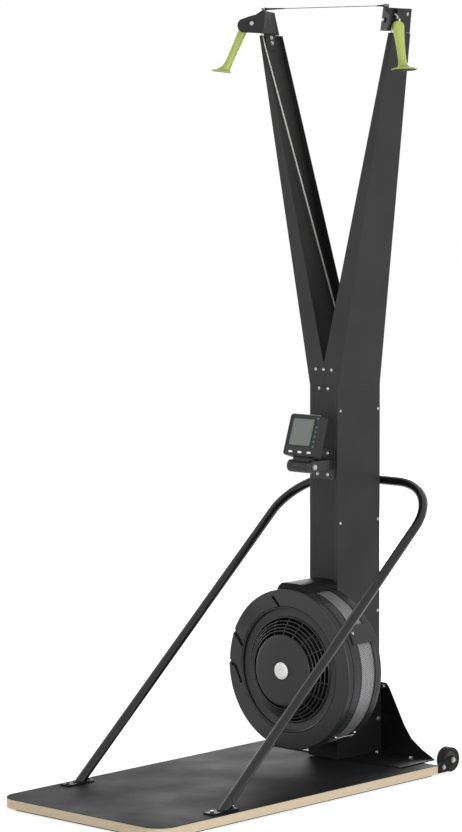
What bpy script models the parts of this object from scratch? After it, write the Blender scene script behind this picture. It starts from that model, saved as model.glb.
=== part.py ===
"""Ski ergometer: a platform, a sheet-metal mast that splits into two arms, a pull cord over a pulley at
each arm's head, an air-braked fan at the foot of the mast and a tilting monitor.

Metres, +Z up. The user stands on the platform at -Y and looks along +Y. The origin is on the floor, below
the middle of the whole machine.
"""
import math

import bmesh
import bpy
from mathutils import Matrix, Vector

# Clearance between pieces that touch
GAP = 0.0003

# Facets of large, middling and small turned pieces
LARGE_STEPS = 36
MIDDLE_STEPS = 24
SMALL_STEPS = 14

# Platform
MAST_FRONT_Y = 0.363
PLATFORM_WIDTH = 0.600
PLATFORM_FRONT_Y = -0.610
PLATFORM_REAR_Y = 0.506
PLATFORM_CORNER_RADIUS = 0.058
RUNNER_HEIGHT = 0.0060
RUNNER_WIDTH = 0.030
RUNNER_INSET = 0.012
BOARD_THICKNESS = 0.0240
TOP_SHEET_THICKNESS = 0.0010
BOARD_BOTTOM_Z = RUNNER_HEIGHT + GAP
BOARD_TOP_Z = BOARD_BOTTOM_Z + BOARD_THICKNESS
PLATFORM_TOP_Z = BOARD_TOP_Z + GAP + TOP_SHEET_THICKNESS

# Base bracket behind the mast
BRACKET_SHEET = 0.0030
BRACKET_WING = PLATFORM_WIDTH / 2 - 0.048
BRACKET_SHOULDER_Z = 0.231
BRACKET_SHOULDER_X = 0.076
BRACKET_PLATE_FRONT_Y = 0.400
BRACKET_CHEEK_TOP_Z = 0.206

# Mast and arms
SHEET = 0.0025
MAST_HALF_WIDTH = 0.0522
MAST_DEPTH = 0.185
MAST_FLANGE = 0.0147
MAST_BASE_Z = PLATFORM_TOP_Z + BRACKET_SHEET + 2 * GAP
FORK_Z = 1.083
FORK_TOP_Z = 1.154
YOKE_HALF_WIDTH = 0.045
YOKE_DROP = 0.026
ARM_TOP_Z = 2.068
ARM_SPREAD = 0.196
ARM_TAPER = 0.1036
FRONT_MOUTH_SPREAD = 0.2522
REAR_FLANGE_LOW = 0.036
REAR_FLANGE_TOP = 0.016
COVER_THICKNESS = 0.0020
FOLD_RADIUS = 0.003

# Heads at the tops of the arms
HEAD_TOE_OUT = math.radians(56)
HEAD_Z = ARM_TOP_Z + 0.034
HEAD_BASE_Z = ARM_TOP_Z + 0.001
HEAD_TOP_Z = ARM_TOP_Z + 0.067
HEAD_BEND_INSET = 0.0342
HEAD_BEND_Y = MAST_FRONT_Y - 0.0096
CHEEK_LEAN_OUT = 0.03
CHEEK_LEAN_BACK = 0.157
HEAD_SHEET = 0.0030
CHEEK_LENGTH = 0.0756
PULLEY_AXLE_REACH = 0.0341
PULLEY_OFFSET = 0.0288
HEAD_PULLEY_CORD_RADIUS = 0.0160
PULLEY_WIDTH = 0.0100
PULLEY_FLANGE = 0.0035
AXLE_RADIUS = 0.0040
WEB_PLATE_FRONT = 0.016
WEB_PLATE_REAR = 0.0815
WEB_TAB_DROP = 0.040

# Cords
CORD_RADIUS = 0.00225
TIE_CORD_RADIUS = 0.00125
TIE_CORD_Z = HEAD_TOP_Z + 0.0075
TIE_CORD_Y = HEAD_BEND_Y + 0.0085
HANDLE_REACH = 0.0565
HANDLE_TOP_Z = HEAD_Z - 0.0035
HANDLE_CORD_TOP_Z = HANDLE_TOP_Z + 0.0085

# Handles
HANDLE_LEAN = math.radians(24)
HANDLE_LENGTH = 0.1465

# Guide pulleys at the fork and drums on the fan shaft
GUIDE_Z = 1.120
GUIDE_CORD_RADIUS = 0.0160
GUIDE_WIDTH = 0.0120
RIGHT_CORD_DEPTH = 0.036
LEFT_CORD_DEPTH = 0.125
CORD_FALL_X = -0.003
DRUM_CORD_RADIUS = 0.0245
DRUM_WIDTH = 0.024

# Fan and its cage: heights run forwards from the mast's front face
FAN_Z = 0.302
SHAFT_RADIUS = 0.010
BEARING_NOSE_RADIUS = 0.016
BEARING_LENGTH = 0.030
CAGE_RADIUS = 0.2225
CAGE_WALL = 0.0030
CAGE_REAR_BACK = 0.005
CAGE_REAR_FRONT = 0.042
CAGE_FRONT_BACK = 0.104
CAGE_FACE = 0.136
DAMPER_FACE = 0.145
DAMPER_INNER = CAGE_RADIUS - 0.0525
DAMPER_CLEARANCE = 0.0012
DISH_OUTER = DAMPER_INNER - 0.003
DISH_INNER = DISH_OUTER - 0.025
DISH_FLOOR = 0.128
GRILLE_OUTER = DISH_INNER - 0.007
GRILLE_INNER = GRILLE_OUTER - 0.035
GRILLE_FLOOR = 0.118
GRILLE_SLOTS = 20
BAND_RADIUS = CAGE_RADIUS - 0.0035
BAND_WALL = 0.0012
FAN_RADIUS = CAGE_RADIUS - 0.0265
FAN_BACK = 0.018
FAN_FRONT = 0.096
FAN_BLADES = 18
CENTRE_COVER_RADIUS = GRILLE_INNER
CENTRE_COVER_FACE = 0.152
HUB_CAP_RADIUS = 0.0250
HUB_CAP_FACE = 0.175
STRAP_WIDTH = 0.074
STRAP_SHEET = 0.003
STRAP_HEIGHT = 0.0145
CLIP_START = 23
CLIP_END = 37
CLIP_THICKNESS = 0.005

# Monitor
HINGE_Y = MAST_FRONT_Y - 0.089
HINGE_Z = 0.865
HINGE_RADIUS = 0.018
HINGE_WIDTH = 0.086
KNUCKLE_WIDTH = 0.060
MONITOR_TILT = math.radians(18.3)
MONITOR_WIDTH = 0.115
MONITOR_BOTTOM = 0.0235
MONITOR_TOP = 0.1410
MONITOR_FACE = -0.0275
MONITOR_SPLIT = -0.0145
MONITOR_BACK = 0.0015
DISPLAY_LEFT = -0.046
DISPLAY_RIGHT = 0.034
DISPLAY_BOTTOM = 0.053
DISPLAY_TOP = 0.130
SIDE_BUTTON_X = 0.0465
SIDE_BUTTON_HEIGHTS = (0.132, 0.108, 0.094, 0.080, 0.066, 0.052)
SIDE_BUTTON_RADIUS = 0.0035
LOW_BUTTON_PLACES = (-0.031, 0.003, 0.037)
LOW_BUTTON_HEIGHT = 0.034
LOW_BUTTON_SIZE = (0.014, 0.006)
BUTTON_PROUD = 0.0015
BUTTON_LENGTH = 0.0035

# Support hoop
HOOP_RADIUS = 0.0130
HOOP_HALF_WIDTH = PLATFORM_WIDTH / 2 - 0.0337
HOOP_BEND = 0.1630
HOOP_FOOT_Y = -0.335
HOOP_TOP_Y = MAST_FRONT_Y + MAST_DEPTH + 0.0194
HOOP_TOP_Z = 0.8059
FOOT_AHEAD = 0.060
FOOT_BEHIND = 0.038
FOOT_WIDTH = 0.036
FOOT_THICKNESS = 0.004
CLAMP_HALF_WIDTH = 0.020
CLAMP_HEIGHT = 0.036

# Transport wheels
WHEEL_RADIUS = 0.0340
WHEEL_WIDTH = 0.030
WHEEL_Y = -PLATFORM_FRONT_Y - WHEEL_RADIUS
WHEEL_Z = 0.0365
WHEEL_FORK_X = PLATFORM_WIDTH / 2 - 0.0035


def clear_scene():
    for existing in list(bpy.data.objects):
        bpy.data.objects.remove(existing, do_unlink=True)


clear_scene()
PARTS = bpy.data.collections.new("ski_ergometer")
CUTTERS = bpy.data.collections.new("cutters")
bpy.context.scene.collection.children.link(PARTS)
bpy.context.scene.collection.children.link(CUTTERS)


def make_material(name, colour, roughness, metallic=0.0):
    material = bpy.data.materials.new(name)
    material.use_nodes = True
    shader = material.node_tree.nodes["Principled BSDF"]
    shader.inputs["Base Color"].default_value = (*colour, 1.0)
    shader.inputs["Roughness"].default_value = roughness
    shader.inputs["Metallic"].default_value = metallic
    return material


BLACK_LAMINATE = make_material("black_laminate", (0.028, 0.028, 0.030), 0.35)
PLYWOOD = make_material("plywood", (0.66, 0.52, 0.36), 0.6)
RUBBER = make_material("rubber", (0.02, 0.02, 0.02), 0.85)
DARK_PAINT = make_material("dark_paint", (0.055, 0.053, 0.053), 0.45, 0.2)
BLACK_STEEL = make_material("black_steel", (0.012, 0.011, 0.012), 0.4, 0.3)
BLACK_PLASTIC = make_material("black_plastic", (0.045, 0.046, 0.048), 0.5)
GREY_PLASTIC = make_material("grey_plastic", (0.09, 0.09, 0.09), 0.5)
PALE_PLASTIC = make_material("pale_plastic", (0.80, 0.80, 0.78), 0.45)
HANDLE_PLASTIC = make_material("handle_plastic", (0.55, 0.66, 0.12), 0.5)
SILVER_MESH = make_material("silver_mesh", (0.45, 0.45, 0.45), 0.35, 0.9)
STEEL = make_material("steel", (0.60, 0.60, 0.60), 0.3, 1.0)
CORD = make_material("cord", (0.72, 0.72, 0.70), 0.8)
DISPLAY_GLASS = make_material("display_glass", (0.20, 0.23, 0.21), 0.15)


def along_y(x, z, y=MAST_FRONT_Y):
    """Places a turned piece's own Z axis along -Y, so that its heights run towards the user."""
    return Matrix.Translation((x, y, z)) @ Matrix.Rotation(math.pi / 2, 4, "X")


def along_x(y, z, x=0.0):
    """Places a turned piece's own Z axis along +X."""
    return Matrix.Translation((x, y, z)) @ Matrix.Rotation(math.pi / 2, 4, "Y")


def facing_y(y):
    """Places a flat outline's own X and Y along world X and Z, at one place along Y."""
    return Matrix.Translation((0, y, 0)) @ Matrix.Rotation(math.pi / 2, 4, "X")


def facing_x(x):
    """Places a flat outline's own X and Y along world Y and Z, at one place along X."""
    return Matrix(((0, 0, 1, x), (1, 0, 0, 0), (0, 1, 0, 0), (0, 0, 0, 1)))


def add_object(name, data, material, place, collection=PARTS):
    new = bpy.data.objects.new(name, data)
    new.matrix_world = place
    if material is not None:
        data.materials.append(material)
    collection.objects.link(new)
    return new


def make_cutter(solid):
    """Turns an object into a tool that only cuts or joins others."""
    solid.hide_render = True
    solid.display_type = "WIRE"
    if solid.name in PARTS.objects:
        PARTS.objects.unlink(solid)
        CUTTERS.objects.link(solid)
    return solid


def combine(target, tool, operation):
    make_cutter(tool)
    boolean = target.modifiers.new(f"{operation.lower()} {tool.name}", "BOOLEAN")
    boolean.operation = operation
    boolean.object = tool
    boolean.solver = "EXACT"
    return target


def cut(target, *tools):
    for tool in tools:
        combine(target, tool, "DIFFERENCE")
    return target


def join(target, *tools):
    for tool in tools:
        combine(target, tool, "UNION")
    return target


def round_edges(target, width, segments=2, angle=35):
    bevel = target.modifiers.new("rounded edges", "BEVEL")
    bevel.width = width
    bevel.segments = segments
    bevel.limit_method = "ANGLE"
    bevel.angle_limit = math.radians(angle)
    return target


def box(name, material, low, high, place=Matrix.Identity(4), collection=PARTS):
    """A block between two corners of its own frame."""
    mesh = bpy.data.meshes.new(name)
    shape = bmesh.new()
    size = Vector(high) - Vector(low)
    middle = (Vector(high) + Vector(low)) / 2
    frame = Matrix.Translation(middle) @ Matrix.Diagonal((*size, 1.0))
    bmesh.ops.create_cube(shape, size=1.0, matrix=frame)
    shape.to_mesh(mesh)
    shape.free()
    return add_object(name, mesh, material, place, collection)


def rod(name, material, radius, start, end, place, sides=SMALL_STEPS, collection=PARTS):
    """A cylinder on its own Z axis, between two heights."""
    mesh = bpy.data.meshes.new(name)
    shape = bmesh.new()
    frame = Matrix.Translation((0, 0, (start + end) / 2))
    bmesh.ops.create_cone(
        shape, cap_ends=True, segments=sides, radius1=radius, radius2=radius, depth=abs(end - start), matrix=frame
    )
    shape.to_mesh(mesh)
    shape.free()
    new = add_object(name, mesh, material, place, collection)
    mesh.shade_smooth()
    mesh.set_sharp_from_angle(angle=math.radians(40))
    return new


def turned(name, material, profile, place, steps=LARGE_STEPS, collection=PARTS):
    """A profile of (radius, height) points, top to bottom down its outer side, turned about its own Z axis.

    A profile that starts and ends on the axis makes a solid piece, and any other one a ring.
    """
    mesh = bpy.data.meshes.new(name)
    shape = bmesh.new()
    points = [shape.verts.new((radius, 0.0, height)) for radius, height in profile]
    for first, second in zip(points, points[1:]):
        shape.edges.new((first, second))
    solid = profile[0][0] == 0.0 and profile[-1][0] == 0.0
    if not solid:
        shape.edges.new((points[-1], points[0]))
    shape.to_mesh(mesh)
    shape.free()
    new = add_object(name, mesh, material, place, collection)
    screw = new.modifiers.new("turn", "SCREW")
    screw.axis = "Z"
    screw.steps = steps
    screw.render_steps = steps
    screw.use_merge_vertices = True
    screw.merge_threshold = 0.00001
    screw.use_smooth_shade = True
    return new


def plate(name, material, outline, thickness, place, holes=(), collection=PARTS):
    """A flat outline of (x, y) points, extruded to both sides of its own XY plane, as a mesh."""
    curve = bpy.data.curves.new(name, "CURVE")
    curve.dimensions = "2D"
    curve.fill_mode = "BOTH"
    curve.extrude = thickness / 2
    for loop in (outline, *holes):
        spline = curve.splines.new("POLY")
        spline.points.add(len(loop) - 1)
        for point, (x, y) in zip(spline.points, loop):
            point.co = (x, y, 0.0, 1.0)
        spline.use_cyclic_u = True
    return as_mesh(add_object(f"{name} outline", curve, None, place, collection), name, material, collection)


def tube(name, material, points, radius, resolution=4):
    """A round rod along a list of points."""
    curve = bpy.data.curves.new(name, "CURVE")
    curve.dimensions = "3D"
    curve.bevel_depth = radius
    curve.bevel_resolution = resolution
    curve.use_fill_caps = True
    spline = curve.splines.new("POLY")
    spline.points.add(len(points) - 1)
    for point, place in zip(spline.points, points):
        point.co = (*place, 1.0)
    return add_object(name, curve, material, Matrix.Identity(4))


def as_mesh(source, name, material, collection=PARTS):
    """Makes a mesh object of a curve, with its caps welded, and removes the curve."""
    bpy.context.view_layer.update()
    evaluated = source.evaluated_get(bpy.context.evaluated_depsgraph_get())
    mesh = bpy.data.meshes.new_from_object(evaluated)
    shape = bmesh.new()
    shape.from_mesh(mesh)
    bmesh.ops.remove_doubles(shape, verts=shape.verts, dist=0.000001)
    bmesh.ops.recalc_face_normals(shape, faces=shape.faces)
    shape.to_mesh(mesh)
    shape.free()
    mesh.materials.clear()
    place = source.matrix_world.copy()
    bpy.data.objects.remove(source, do_unlink=True)
    return add_object(name, mesh, material, place, collection)


def arc(centre, radius, start, end, count):
    """Points on an arc, from one angle in degrees to another."""
    points = []
    for step in range(count + 1):
        angle = math.radians(start + (end - start) * step / count)
        points.append((centre[0] + radius * math.cos(angle), centre[1] + radius * math.sin(angle)))
    return points


def ring_profile(inner, outer, low, high):
    return [(outer, high), (outer, low), (inner, low), (inner, high)]


def grooved_profile(bore, groove, flange, width):
    """A pulley: two flanges with a cord groove between them."""
    half = width / 2
    rim = half * 0.25
    return [
        (flange, half),
        (flange, half - rim),
        (groove, rim),
        (groove, -rim),
        (flange, rim - half),
        (flange, -half),
        (bore, -half),
        (bore, half),
    ]


def build_platform():
    """Plywood board with rounded front corners, its black top sheet and the rubber runners below."""
    half = PLATFORM_WIDTH / 2
    radius = PLATFORM_CORNER_RADIUS
    centre_y = PLATFORM_FRONT_Y + radius
    outline = [(-half, PLATFORM_REAR_Y)]
    outline += arc((-half + radius, centre_y), radius, 180, 270, 12)
    outline += arc((half - radius, centre_y), radius, 270, 360, 12)
    outline += [(half, PLATFORM_REAR_Y)]
    middle = (BOARD_BOTTOM_Z + BOARD_TOP_Z) / 2
    board = plate("platform_board", PLYWOOD, outline, BOARD_THICKNESS, Matrix.Translation((0, 0, middle)))
    round_edges(board, 0.0008, 1)
    middle = BOARD_TOP_Z + GAP + TOP_SHEET_THICKNESS / 2
    plate("platform_top", BLACK_LAMINATE, outline, TOP_SHEET_THICKNESS, Matrix.Translation((0, 0, middle)))
    for name, side in (("runner_left", -1), ("runner_right", 1)):
        outer = side * (half - RUNNER_INSET)
        inner = side * (half - RUNNER_INSET - RUNNER_WIDTH)
        low = (min(inner, outer), PLATFORM_FRONT_Y + radius, 0)
        high = (max(inner, outer), PLATFORM_REAR_Y - RUNNER_INSET, RUNNER_HEIGHT)
        round_edges(box(name, RUBBER, low, high), 0.001, 1)
    reach = half - radius
    low = (-reach, PLATFORM_FRONT_Y + RUNNER_INSET, 0)
    high = (reach, PLATFORM_FRONT_Y + RUNNER_INSET + RUNNER_WIDTH, RUNNER_HEIGHT)
    round_edges(box("runner_front", RUBBER, low, high), 0.001, 1)


def build_base_bracket():
    """Steel foot under the mast with a wide winged plate up its back."""
    back_y = MAST_FRONT_Y + MAST_DEPTH + GAP
    floor_z = PLATFORM_TOP_Z + GAP
    side = [
        (BRACKET_WING, floor_z),
        (BRACKET_WING, floor_z + BRACKET_SHEET),
        (0.205, 0.058),
        (0.168, 0.083),
        (0.143, 0.116),
        (0.087, 0.217),
        (BRACKET_SHOULDER_X, BRACKET_SHOULDER_Z - 0.001),
        (BRACKET_SHOULDER_X - 0.008, BRACKET_SHOULDER_Z),
    ]
    outline = side + [(-x, z) for x, z in reversed(side)]
    bracket = plate("base_bracket", BLACK_STEEL, outline, BRACKET_SHEET, facing_y(back_y + BRACKET_SHEET / 2))
    low = (-BRACKET_WING, BRACKET_PLATE_FRONT_Y, floor_z)
    high = (BRACKET_WING, back_y + BRACKET_SHEET / 2, floor_z + BRACKET_SHEET)
    join(bracket, box("bracket foot", None, low, high))
    cheek = [
        (BRACKET_PLATE_FRONT_Y + 0.002, floor_z + BRACKET_SHEET / 2),
        (BRACKET_PLATE_FRONT_Y + 0.002, BRACKET_CHEEK_TOP_Z - 0.060),
        (BRACKET_PLATE_FRONT_Y + 0.035, BRACKET_CHEEK_TOP_Z - 0.010),
        (back_y + BRACKET_SHEET / 2, BRACKET_CHEEK_TOP_Z),
        (back_y + BRACKET_SHEET / 2, floor_z + BRACKET_SHEET / 2),
    ]
    for label, side in (("left", -1), ("right", 1)):
        x = side * (MAST_HALF_WIDTH + GAP + BRACKET_SHEET / 2)
        join(bracket, plate(f"bracket cheek {label}", None, cheek, BRACKET_SHEET, facing_x(x)))


def arm_outer(z):
    return MAST_HALF_WIDTH + ARM_SPREAD * max(0.0, z - FORK_Z)


def arm_depth(z):
    return MAST_DEPTH - ARM_TAPER * max(0.0, z - FORK_Z)


def shell_section(z, closed):
    """Inner front edge, front fold, rear fold and inner rear edge of one shell, at one height."""
    outer = arm_outer(z)
    rear = MAST_FRONT_Y + arm_depth(z)
    if z <= FORK_Z and not closed:
        front_inner = outer - MAST_FLANGE
        rear_inner = outer - MAST_FLANGE
    elif z < FORK_TOP_Z:
        front_inner = GAP / 2
        rear_inner = GAP / 2
    else:
        front_inner = 0.003 + FRONT_MOUTH_SPREAD * (z - FORK_TOP_Z)
        share = (z - FORK_TOP_Z) / (ARM_TOP_Z - FORK_TOP_Z)
        rear_inner = outer - (REAR_FLANGE_LOW + (REAR_FLANGE_TOP - REAR_FLANGE_LOW) * share)
    return [
        (front_inner, MAST_FRONT_Y, z),
        (outer, MAST_FRONT_Y, z),
        (outer, rear, z),
        (rear_inner, rear, z),
    ]


def build_mast_shell(name, side):
    """One folded side of the mast, which goes on as that side's arm: an open sheet, thickened inwards."""
    step = 0.001
    sections = [
        shell_section(MAST_BASE_Z, False),
        shell_section(FORK_Z, False),
        shell_section(FORK_Z + step, True),
        shell_section(FORK_TOP_Z - step, True),
        shell_section(FORK_TOP_Z, True),
        shell_section(ARM_TOP_Z, True),
    ]
    mesh = bpy.data.meshes.new(name)
    shape = bmesh.new()
    rows = []
    for section in sections:
        rows.append([shape.verts.new((side * x, y, z)) for x, y, z in section])
    for lower, upper in zip(rows, rows[1:]):
        for column in range(3):
            corners = [lower[column], lower[column + 1], upper[column + 1], upper[column]]
            if side < 0:
                corners.reverse()
            shape.faces.new(corners)
    shape.to_mesh(mesh)
    shape.free()
    shell = add_object(name, mesh, DARK_PAINT, Matrix.Identity(4))
    round_edges(shell, FOLD_RADIUS, 3)
    thicken = shell.modifiers.new("sheet", "SOLIDIFY")
    thicken.thickness = SHEET
    thicken.offset = -1.0
    thicken.use_even_offset = True
    return shell


def build_mast():
    """Both shells, the covers between their flanges and the plate with the guide pulleys' pins."""
    build_mast_shell("mast_shell_left", -1)
    build_mast_shell("mast_shell_right", 1)
    half = MAST_HALF_WIDTH - MAST_FLANGE - GAP
    high_z = FORK_Z - GAP
    front = box(
        "front_cover", DARK_PAINT, (-half, MAST_FRONT_Y, MAST_BASE_Z), (half, MAST_FRONT_Y + COVER_THICKNESS, high_z)
    )
    bore = rod("front cover bore", None, BEARING_NOSE_RADIUS + GAP, -0.01, 0.01, along_y(0, FAN_Z), MIDDLE_STEPS)
    cut(front, bore)
    rear_y = MAST_FRONT_Y + MAST_DEPTH
    box("rear_cover", DARK_PAINT, (-half, rear_y - COVER_THICKNESS, MAST_BASE_Z), (half, rear_y, high_z))
    yoke_y = MAST_FRONT_Y + SHEET + GAP
    low = (-YOKE_HALF_WIDTH, yoke_y, FORK_Z - YOKE_DROP)
    high = (YOKE_HALF_WIDTH, yoke_y + 0.003, FORK_TOP_Z - 0.009)
    yoke = box("yoke_plate", BLACK_STEEL, low, high)
    for label, x, depth in guide_places():
        start = -(SHEET + GAP + 0.001)
        pin = rod(f"guide pin {label}", None, AXLE_RADIUS, start, -(depth + 0.020), along_y(x, GUIDE_Z))
        join(yoke, pin)


def guide_places():
    """Name, X and depth behind the mast's front face of each guide pulley."""
    return (
        ("right", CORD_FALL_X + GUIDE_CORD_RADIUS, RIGHT_CORD_DEPTH),
        ("left", CORD_FALL_X - GUIDE_CORD_RADIUS, LEFT_CORD_DEPTH),
    )


def build_guides_and_drums():
    """Guide pulleys at the fork, and the drums that wind the cords on the fan shaft."""
    clearance = CORD_RADIUS + GAP
    for label, x, depth in guide_places():
        groove = GUIDE_CORD_RADIUS - clearance
        profile = grooved_profile(AXLE_RADIUS + GAP, groove, groove + 0.004, GUIDE_WIDTH)
        place = along_y(x, GUIDE_Z, MAST_FRONT_Y + depth)
        turned(f"guide_pulley_{label}", GREY_PLASTIC, profile, place, MIDDLE_STEPS)
        groove = DRUM_CORD_RADIUS - clearance
        half = DRUM_WIDTH / 2
        rim = 0.003
        profile = [
            (groove + 0.008, half),
            (groove + 0.008, half - rim),
            (groove, half - rim),
            (groove, rim - half),
            (groove + 0.008, rim - half),
            (groove + 0.008, -half),
            (SHAFT_RADIUS + GAP, -half),
            (SHAFT_RADIUS + GAP, half),
        ]
        turned(f"cord_drum_{label}", GREY_PLASTIC, profile, along_y(0, FAN_Z, MAST_FRONT_Y + depth), MIDDLE_STEPS)


def head_frame(side):
    """Frame of a head: own X up, own Y forwards and outwards along the cheek, own Z from the cheek to the pulley.

    The right head is built, and the left head is its mirror image.
    """
    reach = Vector((math.sin(HEAD_TOE_OUT), -math.cos(HEAD_TOE_OUT), 0))
    inward = Vector((-reach.y, reach.x, 0))
    frame = Matrix.Identity(4)
    frame.col[0] = (0, 0, 1, 0)
    frame.col[1] = (*reach, 0)
    frame.col[2] = (*inward, 0)
    frame.col[3] = (arm_outer(HEAD_Z) - HEAD_BEND_INSET, HEAD_BEND_Y, HEAD_Z, 1)
    return Matrix.Diagonal((side, 1, 1, 1)) @ frame


def head_point(side, reach, up, offset):
    return head_frame(side) @ Vector((up, reach, offset))


def mirror_if_left(solid, side):
    """Gives the left piece the right one's mirrored mesh, in place of a mirrored placement."""
    if side > 0:
        return solid
    mesh = solid.data
    mesh.transform(Matrix.Diagonal((-1, 1, 1, 1)) @ solid.matrix_world)
    mesh.flip_normals()
    solid.matrix_world = Matrix.Identity(4)
    return solid


def lean(solid, out, back=0.0):
    """Shears a head piece outwards and backwards as it rises, about the height of the pulley's axle."""
    mesh = solid.data
    mesh.transform(solid.matrix_world)
    solid.matrix_world = Matrix.Identity(4)
    shear = Matrix.Identity(4)
    shear[0][2] = out
    shear[0][3] = -out * HEAD_Z
    shear[1][2] = back
    shear[1][3] = -back * HEAD_Z
    mesh.transform(shear)
    return solid


def wall_between(name, near_low, near_high, far_low, far_high, thickness):
    """A cube moved corner by corner to stand between two edges that lean differently, thick to its right."""
    mesh = bpy.data.meshes.new(name)
    shape = bmesh.new()
    bmesh.ops.create_cube(shape, size=1.0)
    for corner in shape.verts:
        near = near_high if corner.co.z > 0 else near_low
        far = far_high if corner.co.z > 0 else far_low
        along = far - near
        aside = Vector((-along.y, along.x, 0)).normalized() * thickness
        start = near if corner.co.x < 0 else far
        corner.co = start + aside * (corner.co.y - 0.5)
    shape.to_mesh(mesh)
    shape.free()
    return add_object(name, mesh, None, Matrix.Identity(4))


def cheek_edge(reach, z):
    """A point of the right cheek, where its lean has been taken in."""
    point = head_point(1, reach, z - HEAD_Z, 0)
    return point + Vector((CHEEK_LEAN_OUT, CHEEK_LEAN_BACK, 0)) * (z - HEAD_Z)


def tie_cord_end():
    """X at which the tie cord goes through the right lug's outer face."""
    corner = cheek_edge(0, TIE_CORD_Z)
    web_x = arm_outer(HEAD_Z) - SHEET - GAP - HEAD_SHEET
    slope = (web_x - corner.x) / (MAST_FRONT_Y + WEB_PLATE_REAR - 0.012 - corner.y)
    return corner.x + slope * (TIE_CORD_Y - corner.y) + HEAD_SHEET


def build_head(label, side):
    """Folded bracket with its pulley's axle, and the pulley."""
    frame = head_frame(1)
    low = HEAD_BASE_Z - HEAD_Z
    high = HEAD_TOP_Z - HEAD_Z
    cheek_outline = [(low + 0.004, -0.001), (low + 0.008, 0.0626), (-0.017, 0.0716)]
    cheek_outline += [(-0.007, CHEEK_LENGTH), (0.003, 0.0746), (0.011, 0.0686), (0.0205, 0.0426)]
    cheek_outline += [(0.025, 0.0256), (high + 0.004, 0.0081), (high + 0.004, -0.001)]
    cheek_place = frame @ Matrix.Translation((0, 0, HEAD_SHEET / 2))
    cheek = plate(f"head_bracket_{label}", DARK_PAINT, cheek_outline, HEAD_SHEET, cheek_place)
    lean(cheek, CHEEK_LEAN_OUT, CHEEK_LEAN_BACK)

    web_face = arm_outer(HEAD_Z) - SHEET - GAP
    front_y = MAST_FRONT_Y + WEB_PLATE_FRONT
    rear_y = MAST_FRONT_Y + WEB_PLATE_REAR
    web_outline = [
        (front_y + 0.004, ARM_TOP_Z - WEB_TAB_DROP),
        (rear_y - 0.0175, ARM_TOP_Z - WEB_TAB_DROP),
        (rear_y - 0.0175, HEAD_BASE_Z),
        (rear_y, HEAD_BASE_Z),
        (rear_y - 0.007, HEAD_TOP_Z),
        (front_y, HEAD_TOP_Z),
        (front_y, HEAD_BASE_Z + 0.003),
        (front_y + 0.004, ARM_TOP_Z - GAP),
    ]
    web = plate(f"web plate {label}", None, web_outline, HEAD_SHEET, facing_x(web_face - HEAD_SHEET / 2))
    lean(web, ARM_SPREAD)
    edges = []
    for z in (HEAD_BASE_Z + 0.0045, HEAD_TOP_Z + 0.003):
        edges.append(cheek_edge(0, z))
    for z in (HEAD_BASE_Z + 0.0045, HEAD_TOP_Z - 0.0005):
        inner = web_face + ARM_SPREAD * (z - HEAD_Z) - HEAD_SHEET - 0.0002
        edges.append(Vector((inner, rear_y - 0.012, z)))
    closing_plate = wall_between(f"closing plate {label}", *edges, HEAD_SHEET)
    across = edges[3] - edges[1]
    inside = Vector((across.y, -across.x, 0)).normalized() * HEAD_SHEET * 0.15
    lug_edges = []
    for share in (0.04, 0.20):
        for z in (HEAD_TOP_Z - 0.006, TIE_CORD_Z + 0.0045):
            corner = edges[1] + across * share + inside
            lug_edges.append(Vector((corner.x, corner.y, z)))
    lug = wall_between(f"tie lug {label}", *lug_edges, HEAD_SHEET * 0.7)

    axle_place = frame @ Matrix.Translation((0, PULLEY_AXLE_REACH, 0))
    head_profile = [
        (0.0, PULLEY_OFFSET + PULLEY_WIDTH / 2 + 0.0035),
        (0.0075, PULLEY_OFFSET + PULLEY_WIDTH / 2 + 0.0035),
        (0.0075, PULLEY_OFFSET + PULLEY_WIDTH / 2 + GAP),
        (AXLE_RADIUS, PULLEY_OFFSET + PULLEY_WIDTH / 2 + GAP),
        (AXLE_RADIUS, PULLEY_OFFSET - PULLEY_WIDTH / 2 - GAP),
        (0.0075, PULLEY_OFFSET - PULLEY_WIDTH / 2 - GAP),
        (0.0075, -0.0045),
        (0.0, -0.0045),
    ]
    axle = turned(f"head axle {label}", None, head_profile, axle_place, SMALL_STEPS)
    bore_place = along_x(TIE_CORD_Y, TIE_CORD_Z, tie_cord_end())
    bore = rod(f"tie lug bore {label}", None, TIE_CORD_RADIUS + 0.0006, -0.012, 0.012, bore_place, 12)
    for piece in (cheek, closing_plate, web, lug, bore):
        mirror_if_left(piece, side)
    join(cheek, closing_plate, web, lug)
    mirror_turned(axle, side)
    join(cheek, axle)
    cut(cheek, bore)

    clearance = CORD_RADIUS + GAP
    groove = HEAD_PULLEY_CORD_RADIUS - clearance
    profile = grooved_profile(AXLE_RADIUS + GAP, groove, groove + PULLEY_FLANGE, PULLEY_WIDTH)
    place = frame @ Matrix.Translation((0, PULLEY_AXLE_REACH, PULLEY_OFFSET))
    pulley = turned(f"head_pulley_{label}", GREY_PLASTIC, profile, place, MIDDLE_STEPS)
    mirror_turned(pulley, side)


def mirror_turned(solid, side):
    """Moves a right-hand turned piece to its mirror place: a turned piece is its own mirror image."""
    if side > 0:
        return solid
    place = solid.matrix_world
    origin = Matrix.Diagonal((-1, 1, 1, 1)) @ place.translation
    axis = Matrix.Diagonal((-1, 1, 1)) @ place.to_3x3().col[2]
    turn = axis.to_track_quat("Z", "Y").to_matrix().to_4x4()
    solid.matrix_world = Matrix.Translation(origin) @ turn
    return solid


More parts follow.
